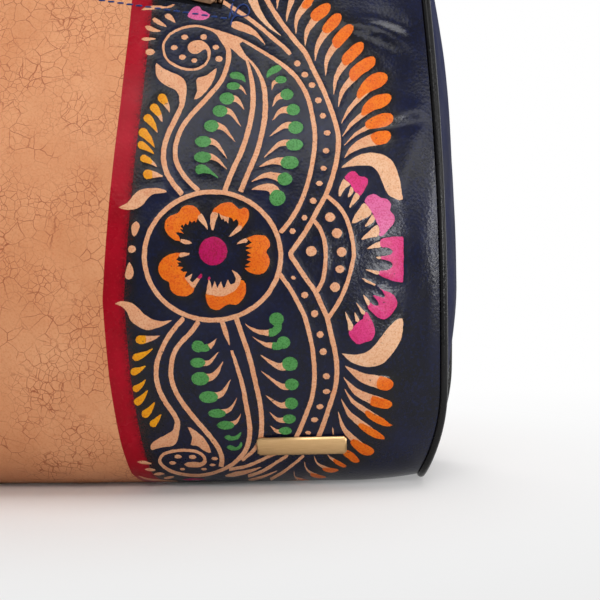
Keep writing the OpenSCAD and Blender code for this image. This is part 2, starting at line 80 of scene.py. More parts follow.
def section(v, depth, flat, base, top, shoulder, slope):
    """Depth and height: v is 1 at the base's edge, 2 at the belly, 3 at the shoulder and 4 at the lip."""
    v = np.asarray(v, float)
    rise, roll = SHOULDER_Z - BELLY_Z, top - SHOULDER_Z
    floor = np.stack([mix(GAP / 2, flat, np.clip(v, 0, 1)), np.full(v.shape, float(base))], -1)
    belly = bezier([
        [flat, base], [mix(flat, depth, 0.76), base],
        [depth, mix(base, BELLY_Z, 0.36)], [depth, BELLY_Z]], np.clip(v - 1, 0, 1))
    upper = bezier([
        [depth, BELLY_Z], [depth, BELLY_Z + 0.33 * rise],
        [shoulder + slope * 0.36 * rise, SHOULDER_Z - 0.36 * rise], [shoulder, SHOULDER_Z]],
        np.clip(v - 2, 0, 1))
    edge = bezier([
        [shoulder, SHOULDER_Z], [shoulder - slope * 0.5 * roll, SHOULDER_Z + 0.6 * roll],
        [mix(LIP, shoulder, 0.6), top], [LIP, top]], np.clip(v - 3, 0, 1))
    at = v[..., None]
    return np.where(at <= 1, floor, np.where(at <= 2, belly, np.where(at <= 3, upper, edge)))


def seam_x(z):
    """Half width of the bag at a height of its side seams."""
    up = np.maximum(0, z - BELLY_Z) / (BODY_H - BELLY_Z)
    down = np.maximum(0, BELLY_Z - z) / BELLY_Z
    tuck = CORNER_TUCK * np.maximum(0, 1 - z / CORNER_TUCK_H) ** 2
    return SEAM_HALF_W - SIDE_LEAN * up ** 2 - SIDE_FOOT_LEAN * down ** 2 - tuck


def wall(x, v):
    """Point of the front wall's face, x millimetres from its middle."""
    m, e = section(v, **MIDDLE), section(v, **SEAM)
    s = np.abs(x) / seam_x(e[..., 1])
    depth = mix(m[..., 0], e[..., 0], sum(share * s ** power for share, power in BEND))
    z = mix(m[..., 1], e[..., 1], np.maximum(0, (s - LEVEL_SHARE) / (1 - LEVEL_SHARE)) ** 2)
    return np.stack([x + 0 * z, -depth, z], -1)


def wall_normal(x, v):
    across = wall(x + 0.5, v) - wall(x - 0.5, v)
    up = wall(x, np.minimum(v + 0.01, TOP_V)) - wall(x, np.maximum(v - 0.01, 0))
    return unit(np.cross(across, up))


def wall_edge(v):
    """Half width of the wall where it stops beside the piping."""
    m, e = section(v, **MIDDLE), section(v, **SEAM)
    x = seam_x(e[..., 1])
    steepness = sum(share * power for share, power in BEND) * (m[..., 0] - e[..., 0]) / x
    return x - SEAM_GAP / np.sqrt(1 + steepness ** 2)


# The walls laid flat: x across, and the length along the middle section upwards

def run_lengths(path):
    """Length along a path up to each of its points."""
    return np.concatenate([[0], np.cumsum(np.linalg.norm(np.diff(path, axis=0), axis=1))])


def points_along(path, lengths):
    """Points of a flat path at lengths along it."""
    run = run_lengths(path)
    return np.stack([np.interp(lengths, run, path[:, 0]), np.interp(lengths, run, path[:, 1])], -1)


V_STEPS = np.linspace(0, TOP_V, 1601)
MIDDLE_LINE = section(V_STEPS, **MIDDLE)
LENGTHS = run_lengths(MIDDLE_LINE)
FLAT_H = LENGTHS[-1]


def to_length(v):
    return np.interp(v, V_STEPS, LENGTHS)


def to_v(length):
    return np.interp(length, LENGTHS, V_STEPS)


def v_at(z):
    """The v of a height, from the base's edge upwards."""
    rising = V_STEPS >= 1
    return np.interp(z, MIDDLE_LINE[rising, 1], V_STEPS[rising])


def cross(a, b):
    return a[:, 0] * b[:, 1] - a[:, 1] * b[:, 0]


NEWTON_ROUNDS = 25
SMALL_X, SMALL_V = 0.01, 1e-4
MOST_X, MOST_V = 20, 0.2
LEAST_V, LAST_V = 0.3, 3.99


def on_wall(project, targets, x, v):
    """Flat places of the wall that a projection puts on the targets, by Newton's method from x and v."""
    for _ in range(NEWTON_ROUNDS):
        at = project(wall(x, v))
        off = targets - at
        by_x = (project(wall(x + SMALL_X, v)) - at) / SMALL_X
        by_v = (project(wall(x, v + SMALL_V)) - at) / SMALL_V
        det = cross(by_x, by_v)
        x = x + np.clip(cross(off, by_v) / det, -MOST_X, MOST_X)
        v = np.clip(v + np.clip(cross(by_x, off) / det, -MOST_V, MOST_V), LEAST_V, LAST_V)
    return np.stack([x, to_length(v)], -1)


# The zip pocket's own plane, with its places across and up

POCKET_AT = np.array([16, -29.8015, 224.5])
POCKET_X = np.array([0.981627, -0.0755129, -0.175231])
POCKET_Y = np.array([0.190809, 0.38848, 0.901485])
POCKET_Z = np.array([0, -0.918358, 0.395751])
WINDOW_HALF = np.array([69.4, 6.0])
STITCH_ROOM = 4.2
FRAME_STEP = 2.0


def to_pocket(points):
    return np.stack([(points - POCKET_AT) @ POCKET_X, (points - POCKET_AT) @ POCKET_Y], -1)


def from_pocket(spots):
    """Flat places of the wall in front of spots in the pocket's plane."""
    at = POCKET_AT + spots[:, :1] * POCKET_X + spots[:, 1:] * POCKET_Y
    return on_wall(to_pocket, spots, at[:, 0], v_at(at[:, 2]))


def pocket_loop(half_x, half_y):
    """Flat places of the wall round a rectangle in the pocket's plane."""
    corners = np.array([(-half_x, -half_y), (half_x, -half_y), (half_x, half_y), (-half_x, half_y)])
    sides = []
    for a, b in zip(corners, np.roll(corners, -1, 0)):
        count = max(2, int(round(np.linalg.norm(b - a) / FRAME_STEP)))
        sides.append(a + np.linspace(0, 1, count, endpoint=False)[:, None] * (b - a))
    return from_pocket(np.concatenate(sides))


# The camera, at the viewing angle of the picture

AZIMUTH, ELEVATION, ROLL = np.radians([6, 4, 1.45])
AIM = np.array([116.16, -60, 82.27])
DISTANCE, FOCAL_PX, HALF_PX, SENSOR_W = 750, 1785, 300, 36
BACK = np.array([
    np.sin(AZIMUTH) * np.cos(ELEVATION), -np.cos(AZIMUTH) * np.cos(ELEVATION), np.sin(ELEVATION)])
LEVEL = np.array([np.cos(AZIMUTH), np.sin(AZIMUTH), 0])
RISE = np.cross(BACK, LEVEL)
RIGHT = np.cos(ROLL) * LEVEL - np.sin(ROLL) * RISE
UP = np.sin(ROLL) * LEVEL + np.cos(ROLL) * RISE
EYE = AIM + DISTANCE * BACK
# Picture units to a millimetre across and up, for the first guess of a place
GUESS_X, GUESS_Z = 2.3, 2.35
GUESS_LOWEST, GUESS_HIGHEST = 3, 270


def to_picture(points):
    d = points - EYE
    scale = FOCAL_PX / -(d @ BACK)
    return np.stack([HALF_PX + scale * (d @ RIGHT), HALF_PX - scale * (d @ UP)], -1)


def from_picture(points):
    """Flat places of the wall that show at places in the picture."""
    points = np.asarray(points, float)
    x = AIM[0] + (points[:, 0] - HALF_PX) / GUESS_X
    z = np.clip(AIM[2] - (points[:, 1] - HALF_PX) / GUESS_Z, GUESS_LOWEST, GUESS_HIGHEST)
    return on_wall(to_picture, points, x, v_at(z))


def make_camera():
    data = bpy.data.cameras.new("camera")
    data.sensor_width = SENSOR_W
    data.lens = FOCAL_PX * SENSOR_W / (2 * HALF_PX)
    data.clip_end = 20
    camera = bpy.data.objects.new("camera", data)
    turn = Matrix((RIGHT, UP, BACK)).transposed().to_4x4()
    camera.matrix_world = Matrix.Translation(Vector(EYE * MM)) @ turn
    bpy.context.collection.objects.link(camera)
    bpy.context.scene.camera = camera


# Painted ornament, read off the picture on four sheets at 6.27 units to a picture unit

SHEET_SCALE = 6.27
SHEETS = {"a": (95, 0), "b": (275, 0), "c": (95, 240), "d": (275, 240)}
COLOURS = {
    "tan": (222, 169, 132), "cream": (226, 182, 147), "orange": (224, 115, 11), "green": (81, 147, 79),
    "yellow": (227, 158, 13), "pink": (209, 49, 124), "magenta": (179, 0, 90), "rose": (214, 103, 156)}
OUTLINE_STEP, TOOTH_STEP = 1.3, 0.45
DOT_POINTS = 14
# Part of a line over which its width changes at each end, and the least shares of a stroke's width
END_PART, LINE_LEAST, TAPER_LEAST, DROP_LEAST = 0.3, 0.06, 0.05, 0.12
FLOWER_AT, FLOWER_RADII, FLOWER_LINE_W = (212.6, 256), (68.2, 64.2), 4.7
ornament = []


def place(sheet, points):
    return np.add(SHEETS[sheet], np.divide(points, SHEET_SCALE))


def rounded(points, closed=True, steps=5):
    """A smooth line through the points."""
    p = np.asarray(points, float)
    if closed:
        p = np.concatenate([p[-1:], p, p[:2]])
    else:
        p = np.concatenate([2 * p[:1] - p[1:2], p, 2 * p[-1:] - p[-2:-1]])
    t = (np.arange(steps) / steps)[None, :, None]
    a, b, c, d = (q[:, None] for q in (p[:-3], p[1:-2], p[2:-1], p[3:]))
    curve = 0.5 * (
        2 * b + (c - a) * t + (2 * a - 5 * b + 4 * c - d) * t ** 2 + (3 * b - a - 3 * c + d) * t ** 3)
    curve = curve.reshape(-1, 2)
    return curve if closed else np.concatenate([curve, p[-2:-1]])


def draw(colour, outline, step=OUTLINE_STEP):
    ornament.append((colour, outline, step))


def blob(sheet, colour, *points):
    draw(colour, rounded(place(sheet, points)))


def blobs(sheet, colour, *outlines):
    for points in outlines:
        blob(sheet, colour, *points)


def petal(sheet, colour, outer, teeth):
    """A shape with one smooth side and one side of sharp teeth."""
    smooth_side = rounded(place(sheet, outer), closed=False)
    draw(colour, np.concatenate([smooth_side, place(sheet, teeth)]), TOOTH_STEP)


def dot(sheet, colour, x, y, rx, ry):
    turn = np.linspace(0, 2 * np.pi, DOT_POINTS, endpoint=False)
    draw(colour, place(sheet, np.stack([x + rx * np.cos(turn), y + ry * np.sin(turn)], -1)))


def dots(sheet, colour, *spots):
    for spot in spots:
        dot(sheet, colour, *spot)


def ribbon(middle, half):
    """Outline of a line whose half width varies along it."""
    way = unit(np.gradient(middle, axis=0))
    side = np.stack([-way[:, 1], way[:, 0]], -1) * np.asarray(half)[:, None]
    return np.concatenate([middle + side, (middle - side)[::-1]])


def stroke(sheet, colour, width, points, share):
    """A smooth line with the share of its width that a function gives for 0 to 1 along it."""
    middle = rounded(place(sheet, points), closed=False)
    t = np.linspace(0, 1, len(middle))
    draw(colour, ribbon(middle, 0.5 * width / SHEET_SCALE * share(t)))


def line(sheet, colour, width, *points, start=1.0, end=1.0):
    """A painted line, as wide at its ends as the given shares of its width."""
    def share(t):
        ends = np.minimum(mix(start, 1, t / END_PART), mix(end, 1, (1 - t) / END_PART))
        return np.clip(ends, LINE_LEAST, 1)
    stroke(sheet, colour, width, points, share)


def taper(sheet, colour, width, *points):
    """A stroke from its full width to a point."""
    stroke(sheet, colour, width, points, lambda t: np.maximum((1 - t) ** 0.85, TAPER_LEAST))


def drop(sheet, colour, head, tail, width, bend, painted):
    """A teardrop whose round head is painted as far as the given share, and the rest left tan."""
    head, tail = place(sheet, [head, tail])
    along = tail - head
    length = np.linalg.norm(along)
    across = np.array([-along[1], along[0]]) / length
    radius = 0.5 * width / SHEET_SCALE
    t = np.concatenate([np.linspace(0, 1, 6)[:-1] ** 2 * radius, np.linspace(radius, length, 8)])
    round_end = np.sqrt(np.maximum(0, 1 - (1 - t / radius) ** 2))
    sharp_end = (1 - (t - radius) / (length - radius)) ** 0.8
    half = np.maximum(radius * np.where(t < radius, round_end, sharp_end), DROP_LEAST)
    bow = bend * length * np.sin(np.pi * t / length)
    middle = head + np.outer(t / length, along) + np.outer(bow, across)
    ground = [("tan", 1.0)] if painted < 1 else []
    for shade, limit in ground + [(colour, painted)]:
        kept = t <= limit * length + 1e-6
        draw(shade, ribbon(middle[kept], half[kept]))


def comma(sheet, x, y, rx, ry, *tail, neck=()):
    """A green bulb, with a green neck where one is given, on a tan tail."""
    thickness = min(rx, ry)
    start = neck[-1] if neck else (x, y)
    taper(sheet, "tan", (0.95 if neck else 1.55) * thickness, start, *tail)
    if neck:
        line(sheet, "green", 1.15 * thickness, (x, y), *neck)
    dot(sheet, "green", x, y, rx, ry)


def frond(sheet, tip, *tail, width=58):
    """An orange tip on a tan tail."""
    taper(sheet, "tan", width, np.mean(tip, axis=0), *tail)
    blob(sheet, "orange", *tip)


def draw_spirals():
    blob("a", "tan", (385, 395), (430, 432), (500, 460), (550, 490), (572, 530), (574, 590), (556, 650),
         (530, 640), (527, 600), (500, 562), (450, 540), (410, 510), (385, 470), (380, 430))
    blob("a", "tan", (762, 428), (745, 500), (710, 560), (660, 610), (622, 626), (640, 570), (635, 500),
         (655, 486), (705, 470))
    line("a", "tan", 15, (850, 262), (760, 203), (690, 172), (620, 163), (540, 178), (470, 215), (431, 270),
         (431, 325), (452, 372), (495, 406), (560, 432), (625, 436), (675, 418), (706, 385), (718, 345),
         (716, 305))
    blob("a", "tan", (580, 295), (595, 268), (630, 253), (670, 255), (702, 276), (724, 312), (724, 352),
         (706, 350), (706, 325), (690, 308), (672, 318), (650, 335), (615, 338), (588, 320))
    dots("a", "tan", (562, 232, 23, 17), (682, 232, 22, 19), (497, 298, 22, 17), (757, 296, 22, 16),
         (547, 358, 24, 18), (622, 380, 20, 16), (777, 370, 24, 20))
    blobs("a", "tan",
          ((437, 95), (455, 83), (480, 95), (505, 142), (475, 130), (445, 115)),
          ((358, 120), (375, 110), (410, 130), (452, 168), (415, 160), (375, 140)),
          ((312, 165), (340, 160), (375, 178), (418, 195), (370, 200), (330, 188)),
          ((290, 243), (310, 232), (345, 235), (388, 243), (350, 252), (310, 255)),
          ((290, 62), (330, 40), (400, 35), (450, 40), (500, 22), (480, 46), (400, 56), (330, 62)))
    dot("a", "tan", 345, 325, 30, 22)

    blob("c", "tan", (500, 1150), (530, 1150), (525, 1220), (500, 1285), (430, 1300), (375, 1312),
         (350, 1318), (355, 1280), (400, 1245), (450, 1220), (490, 1190))
    blob("c", "tan", (583, 1175), (620, 1190), (680, 1240), (715, 1295), (725, 1337), (680, 1320),
         (640, 1290), (600, 1285), (610, 1240))
    line("c", "tan", 19, (830, 1430), (740, 1462), (640, 1476), (540, 1467), (460, 1440), (408, 1395),
         (420, 1352), (480, 1327), (560, 1318), (630, 1325), (678, 1352), (690, 1385))
    blob("c", "tan", (558, 1408), (585, 1393), (630, 1392), (668, 1395), (682, 1375), (700, 1385),
         (690, 1410), (650, 1425), (590, 1424))
    dots("c", "tan", (520, 1358, 25, 13), (612, 1360, 25, 14), (487, 1398, 22, 12), (750, 1372, 22, 12),
         (737, 1412, 22, 9), (548, 1437, 18, 8), (683, 1437, 20, 8))
    blobs("c", "tan",
          ((265, 1391), (300, 1382), (330, 1390), (358, 1405), (300, 1403)),
          ((312, 1437), (345, 1428), (385, 1440), (350, 1448)),
          ((365, 1466), (400, 1455), (438, 1462), (400, 1474)),
          ((430, 1490), (460, 1480), (500, 1481), (460, 1498)))
    line("c", "tan", 11, (270, 1475), (330, 1496), (420, 1506), (520, 1510), start=0.3, end=0.3)


def draw_stems():
    line("a", "tan", 30, (800, 250), (832, 300), (838, 365), (822, 435), (788, 512), (742, 570), (690, 630),
         (610, 715), (552, 790), (517, 870), (502, 945), (512, 1020), (550, 1090), (600, 1150), (650, 1195))
    line("a", "tan", 32, (555, 600), (545, 660), (500, 755), (460, 838), (434, 920), (430, 1000),
         (448, 1080), (490, 1150), (548, 1220))
    blob("a", "tan", (690, 168), (780, 192), (870, 222), (930, 256), (904, 276), (930, 320), (958, 372),
         (944, 382), (910, 356), (870, 318), (832, 290), (790, 262), (760, 215))
    line("a", "tan", 28, (870, 225), (930, 255), (1000, 295), (1100, 355), (1180, 410), (1258, 480),
         (1310, 560), (1343, 640), (1365, 740), (1378, 830), (1376, 930), (1360, 1040), (1330, 1160),
         (1285, 1280), (1220, 1390), (1160, 1460), start=0.4)
    line("a", "tan", 32, (930, 330), (956, 390), (976, 470), (990, 560), (990, 660), (975, 760), (950, 860),
         (915, 960), (872, 1050), (838, 1130), (812, 1200), start=0.3)
    line("a", "tan", 32, (945, 350), (1000, 415), (1040, 485), (1062, 560), (1068, 640), (1064, 740),
         (1046, 840), (1020, 940), (985, 1030), (950, 1110), (912, 1205), start=0.3)
    line("c", "tan", 30, (558, 488), (502, 550), (452, 620), (412, 700), (387, 780), (384, 860), (402, 940),
         (442, 1020), (492, 1090), (516, 1140), (516, 1200))
    line("c", "tan", 30, (650, 510), (600, 580), (542, 640), (500, 700), (480, 770), (476, 850), (496, 930),
         (540, 1010), (600, 1090), (660, 1160), (720, 1230), (770, 1300), (796, 1370), (790, 1425))
    line("c", "tan", 30, (795, 505), (808, 545), (822, 590), (846, 665), end=0.12)
    line("c", "tan", 30, (856, 690), (868, 725), (902, 830), (930, 930), (947, 1030), (966, 1130),
         (971, 1200), (960, 1280), (930, 1340), (880, 1392), (820, 1432), (760, 1455), start=0.5, end=0.6)
    line("c", "tan", 30, (885, 485), (920, 590), (955, 690), (985, 800), (1010, 910), (1032, 1010),
         (1045, 1120), (1040, 1230), (1010, 1300), (960, 1350), (920, 1385), end=0.55)
    line("c", "tan", 20, (840, 1440), (940, 1420), (1030, 1385), (1100, 1352), (1150, 1335))
    line("c", "tan", 20, (960, 1480), (1050, 1448), (1130, 1400), (1210, 1350))
    line("c", "tan", 18, (1100, 1500), (1180, 1455), (1260, 1395), (1310, 1352))
    blob("c", "tan", (815, 1478), (880, 1455), (960, 1440), (1045, 1420), (990, 1450), (920, 1475),
         (850, 1486))
    blob("c", "tan", (960, 1502), (1050, 1475), (1145, 1445), (1080, 1480), (1000, 1508))


def draw_commas():
    blob("a", "green", (845, 465), (870, 450), (905, 455), (935, 475), (945, 518), (920, 502), (890, 498),
         (855, 490))
    comma("a", 868, 540, 44, 25, (915, 548), (952, 598))
    comma("a", 828, 618, 48, 38, (890, 625), (938, 690))
    comma("a", 785, 697, 47, 37, (850, 705), (916, 796))
    comma("a", 730, 790, 47, 38, (800, 800), (882, 892))
    comma("a", 678, 888, 52, 36, (755, 898), (832, 998))
    comma("a", 675, 985, 55, 35, (750, 990), (832, 1066))
    blob("a", "green", (628, 1062), (645, 1035), (690, 1035), (730, 1070), (778, 1120), (725, 1092),
         (680, 1085), (645, 1092))
    blob("a", "green", (1078, 490), (1080, 450), (1110, 420), (1150, 408), (1172, 430), (1140, 455),
         (1105, 470))
    comma("a", 1165, 500, 38, 24, (1120, 520), (1108, 566))
    comma("a", 1203, 592, 42, 36, (1145, 610), (1112, 672))
    comma("a", 1242, 688, 44, 37, (1165, 695), (1112, 758))
    comma("a", 1258, 800, 48, 40, (1190, 788), (1092, 858))
    comma("a", 1250, 908, 55, 38, (1165, 900), (1054, 992))
    comma("a", 1220, 1020, 58, 42, (1120, 1012), (1024, 1048))
    comma("a", 1190, 1123, 48, 40, (1080, 1098), (976, 1141))
    comma("a", 1143, 1240, 52, 52, (1108, 1180), (1040, 1176), (976, 1189))
    comma("c", 645, 668, 42, 38, (740, 648), (762, 614), neck=((685, 680), (715, 670)))
    comma("c", 645, 770, 50, 31, (715, 768), (776, 698))
    comma("c", 660, 870, 57, 43, (745, 850), (806, 758))
    comma("c", 712, 985, 60, 38, (795, 962), (852, 872))
    comma("c", 765, 1087, 57, 28, (845, 1062), (892, 988))
    comma("c", 820, 1161, 56, 27, (882, 1142), (916, 1088))
    blob("c", "green", (810, 1238), (835, 1222), (870, 1235), (918, 1203), (900, 1245), (850, 1258))
    blob("c", "green", (825, 1302), (850, 1285), (890, 1300), (920, 1262), (915, 1305), (865, 1322))
    comma("c", 1138, 497, 46, 42, (1030, 576), (975, 552), (938, 522), neck=((1148, 545), (1125, 575),
          (1090, 582)))
    comma("c", 1182, 642, 42, 40, (1060, 650), (984, 604), neck=((1155, 664), (1110, 662)))
    comma("c", 1222, 776, 50, 45, (1150, 792), (1034, 718))
    comma("c", 1233, 905, 45, 37, (1170, 915), (1038, 818))
    comma("c", 1231, 1025, 43, 37, (1160, 1035), (1070, 972))
    comma("c", 1218, 1122, 42, 30, (1150, 1128), (1090, 1074))
    comma("c", 1193, 1197, 42, 25, (1140, 1200), (1094, 1158))
    for sheet, head, tail, width, painted in (
            ("a", (402, 592), (470, 708), 56, 0.6), ("a", (352, 655), (424, 768), 56, 0.75),
            ("a", (312, 722), (394, 838), 56, 0.92), ("a", (280, 812), (374, 928), 60, 1),
            ("a", (268, 900), (374, 970), 50, 1), ("a", (284, 985), (392, 1047), 48, 0.7),
            ("a", (300, 1095), (432, 1108), 62, 0.5), ("c", (256, 624), (410, 599), 58, 0.42),
            ("c", (236, 740), (367, 678), 48, 1), ("c", (222, 832), (322, 784), 48, 1),
            ("c", (238, 945), (320, 872), 46, 1), ("c", (248, 1030), (332, 938), 52, 1),
            ("c", (296, 1108), (377, 1013), 52, 1), ("c", (345, 1168), (416, 1088), 48, 1)):
        drop(sheet, "yellow", head, tail, width, bend=-0.06 if sheet == "a" else 0.06, painted=painted)
    blob("a", "tan", (148, 1300), (200, 1275), (235, 1230), (272, 1195), (330, 1180), (400, 1180),
         (455, 1198), (420, 1211), (370, 1216), (332, 1240), (300, 1285), (250, 1310), (200, 1315))
    blob("c", "tan", (128, 400), (165, 385), (220, 390), (265, 420), (310, 465), (360, 495), (420, 510),
         (484, 500), (440, 530), (390, 550), (330, 565), (270, 540), (225, 505), (200, 450), (165, 415))
    blob("a", "tan", (232, 1412), (262, 1388), (280, 1412), (270, 1450), (248, 1484), (230, 1458))
    dot("c", "tan", 232, 57, 26, 25)
    blob("c", "tan", (215, 138), (235, 170), (242, 210), (225, 245), (195, 243), (188, 215), (200, 170))


def draw_flower():
    for start in (-4, 176):
        turn = np.radians(np.linspace(start, start + 188, 40))
        half_ring = np.add(FLOWER_AT, np.stack([np.cos(turn), np.sin(turn)], -1) * FLOWER_RADII)
        draw("tan", ribbon(half_ring, np.full(len(turn), FLOWER_LINE_W / 2)))
    dot("c", "magenta", 740, 70, 90, 92)
    petal("a", "orange",
          ((536, 1512), (500, 1505), (460, 1475), (437, 1425), (448, 1372), (490, 1345), (520, 1335),
           (545, 1300), (590, 1285), (635, 1300), (662, 1340)),
          ((640, 1372), (632, 1396), (622, 1380), (606, 1398), (594, 1380), (584, 1412), (566, 1398),
           (556, 1424), (548, 1408), (535, 1418), (552, 1438), (528, 1434), (558, 1465), (522, 1454),
           (508, 1460), (526, 1482)))
    blob("a", "tan", (642, 1368), (668, 1338), (696, 1390), (710, 1442), (690, 1420), (660, 1390))
    blob("a", "tan", (538, 1498), (590, 1508), (608, 1525), (580, 1533), (540, 1521))
    petal("a", "orange",
          ((733, 1332), (755, 1300), (800, 1275), (845, 1268), (880, 1288), (905, 1312), (935, 1302),
           (958, 1315), (966, 1350), (950, 1395), (918, 1436)),
          ((890, 1428), (902, 1398), (884, 1372), (868, 1392), (862, 1372), (840, 1362), (800, 1354),
           (774, 1336)))
    blob("a", "tan", (735, 1330), (772, 1338), (756, 1390), (738, 1449), (722, 1400), (725, 1350))
    petal("a", "tan", ((776, 1338), (800, 1352), (842, 1362)),
          ((834, 1402), (822, 1380), (812, 1388), (804, 1366), (794, 1380)))
    blob("a", "tan", (905, 1410), (922, 1432), (880, 1465), (838, 1487), (868, 1446))
    petal("c", "orange",
          ((950, -10), (1000, -30), (1060, -28), (1090, 0), (1096, 40), (1074, 76), (1094, 115),
           (1090, 165), (1060, 205), (1010, 215), (970, 203), (938, 176)),
          ((976, 168), (942, 158), (978, 136), (948, 122), (982, 108), (950, 96), (980, 84), (942, 62),
           (990, 48), (944, 40), (984, 16)))
    blob("c", "tan", (948, -12), (958, 14), (918, 19), (883, 28), (910, 4))
    blob("c", "orange", (695, 340), (740, 345), (790, 350), (840, 335), (885, 300), (910, 250), (940, 265),
         (948, 310), (930, 365), (890, 405), (850, 403), (820, 410), (770, 440), (720, 425), (700, 385))
    petal("c", "tan", ((918, 240), (905, 278), (880, 312), (836, 340), (790, 354), (740, 348), (696, 338)),
          ((704, 290), (714, 248), (724, 266), (732, 306), (752, 256), (766, 304), (790, 258), (804, 302),
           (814, 296), (832, 248), (850, 278), (876, 272), (884, 240), (856, 186), (892, 206)))
    petal("c", "orange",
          ((624, 296), (616, 325), (580, 350), (540, 352), (495, 335), (470, 300), (465, 265), (430, 245),
           (402, 205), (405, 150), (440, 105), (490, 85), (537, 80)),
          ((526, 100), (508, 124), (542, 138), (512, 142), (528, 156), (514, 164), (552, 172), (534, 186),
           (556, 200), (545, 204), (578, 196), (562, 232), (590, 268)))
    blob("c", "tan", (535, 80), (600, 85), (570, 100), (528, 109))
    petal("c", "tan", ((662, 236), (642, 272), (622, 302), (596, 282), (562, 236)),
          ((582, 228), (612, 210), (594, 252), (612, 266), (640, 236)))
    blob("c", "magenta", (640, 238), (672, 205), (668, 240))
    blob("c", "magenta", (706, 250), (717, 228), (723, 250))


def draw_band():
    line("b", "tan", 30, (-56, -8), (0, 84), (60, 170), (130, 260), (192, 335), (242, 440), (292, 540),
         (342, 660), (376, 760), (396, 850), (396, 930), (385, 1010), (360, 1110), (320, 1220), (270, 1310),
         (236, 1375), (180, 1470), (120, 1555), (98, 1596), (140, 1664), (190, 1740), (250, 1824),
         (292, 1914), (327, 1994), (348, 2084), (372, 2184), (387, 2284), (385, 2384), (366, 2474),
         (336, 2564), (304, 2660), (270, 2750))
    line("d", "tan", 28, (22, 205), (92, 300), (142, 390), (186, 480), (216, 590), (236, 690), (246, 790),
         (246, 890), (231, 990), (196, 1090), (160, 1180), (130, 1240), (80, 1300))
    line("b", "tan", 26, (322, 1225), (375, 1270), (420, 1320), (452, 1380), (476, 1460), (491, 1540),
         (494, 1600), (480, 1675), (455, 1765), (420, 1855), (375, 1935), (326, 2005))
    line("b", "tan", 26, (238, 1375), (280, 1430), (305, 1490), (317, 1568), (315, 1660), (300, 1755),
         (262, 1832))
    dots("b", "tan", (140, 397, 21, 20), (187, 467, 22, 20), (232, 533, 22, 19), (272, 628, 22, 20),
         (300, 727, 20, 19), (327, 834, 22, 18), (320, 945, 22, 18), (305, 1055, 21, 17),
         (278, 1150, 22, 17), (240, 1260, 22, 20), (185, 1365, 20, 19), (110, 1450, 20, 20),
         (345, 1362, 32, 31), (388, 1462, 32, 32))
    dots("d", "tan", (115, 237, 17, 13), (187, 345, 24, 22), (248, 462, 24, 24), (283, 592, 23, 22),
         (303, 700, 24, 23), (322, 853, 24, 20), (323, 950, 25, 17), (282, 1045, 23, 18),
         (248, 1127, 24, 16), (208, 1210, 20, 12), (227, 70, 35, 33), (418, 75, 32, 31), (407, 183, 30, 25),
         (377, 295, 32, 32))
    line("a", "tan", 25, (790, 4), (880, 60), (960, 112), (1050, 182), (1130, 252), (1190, 302),
         (1226, 342))
    taper("a", "cream", 62, (975, -40), (1010, 50), (1050, 115), (1100, 170), (1172, 228))
    blob("a", "tan", (850, 150), (872, 134), (912, 140), (960, 160), (1002, 190), (1042, 236), (1072, 288),
         (1040, 256), (1000, 226), (950, 206), (890, 186), (862, 174))


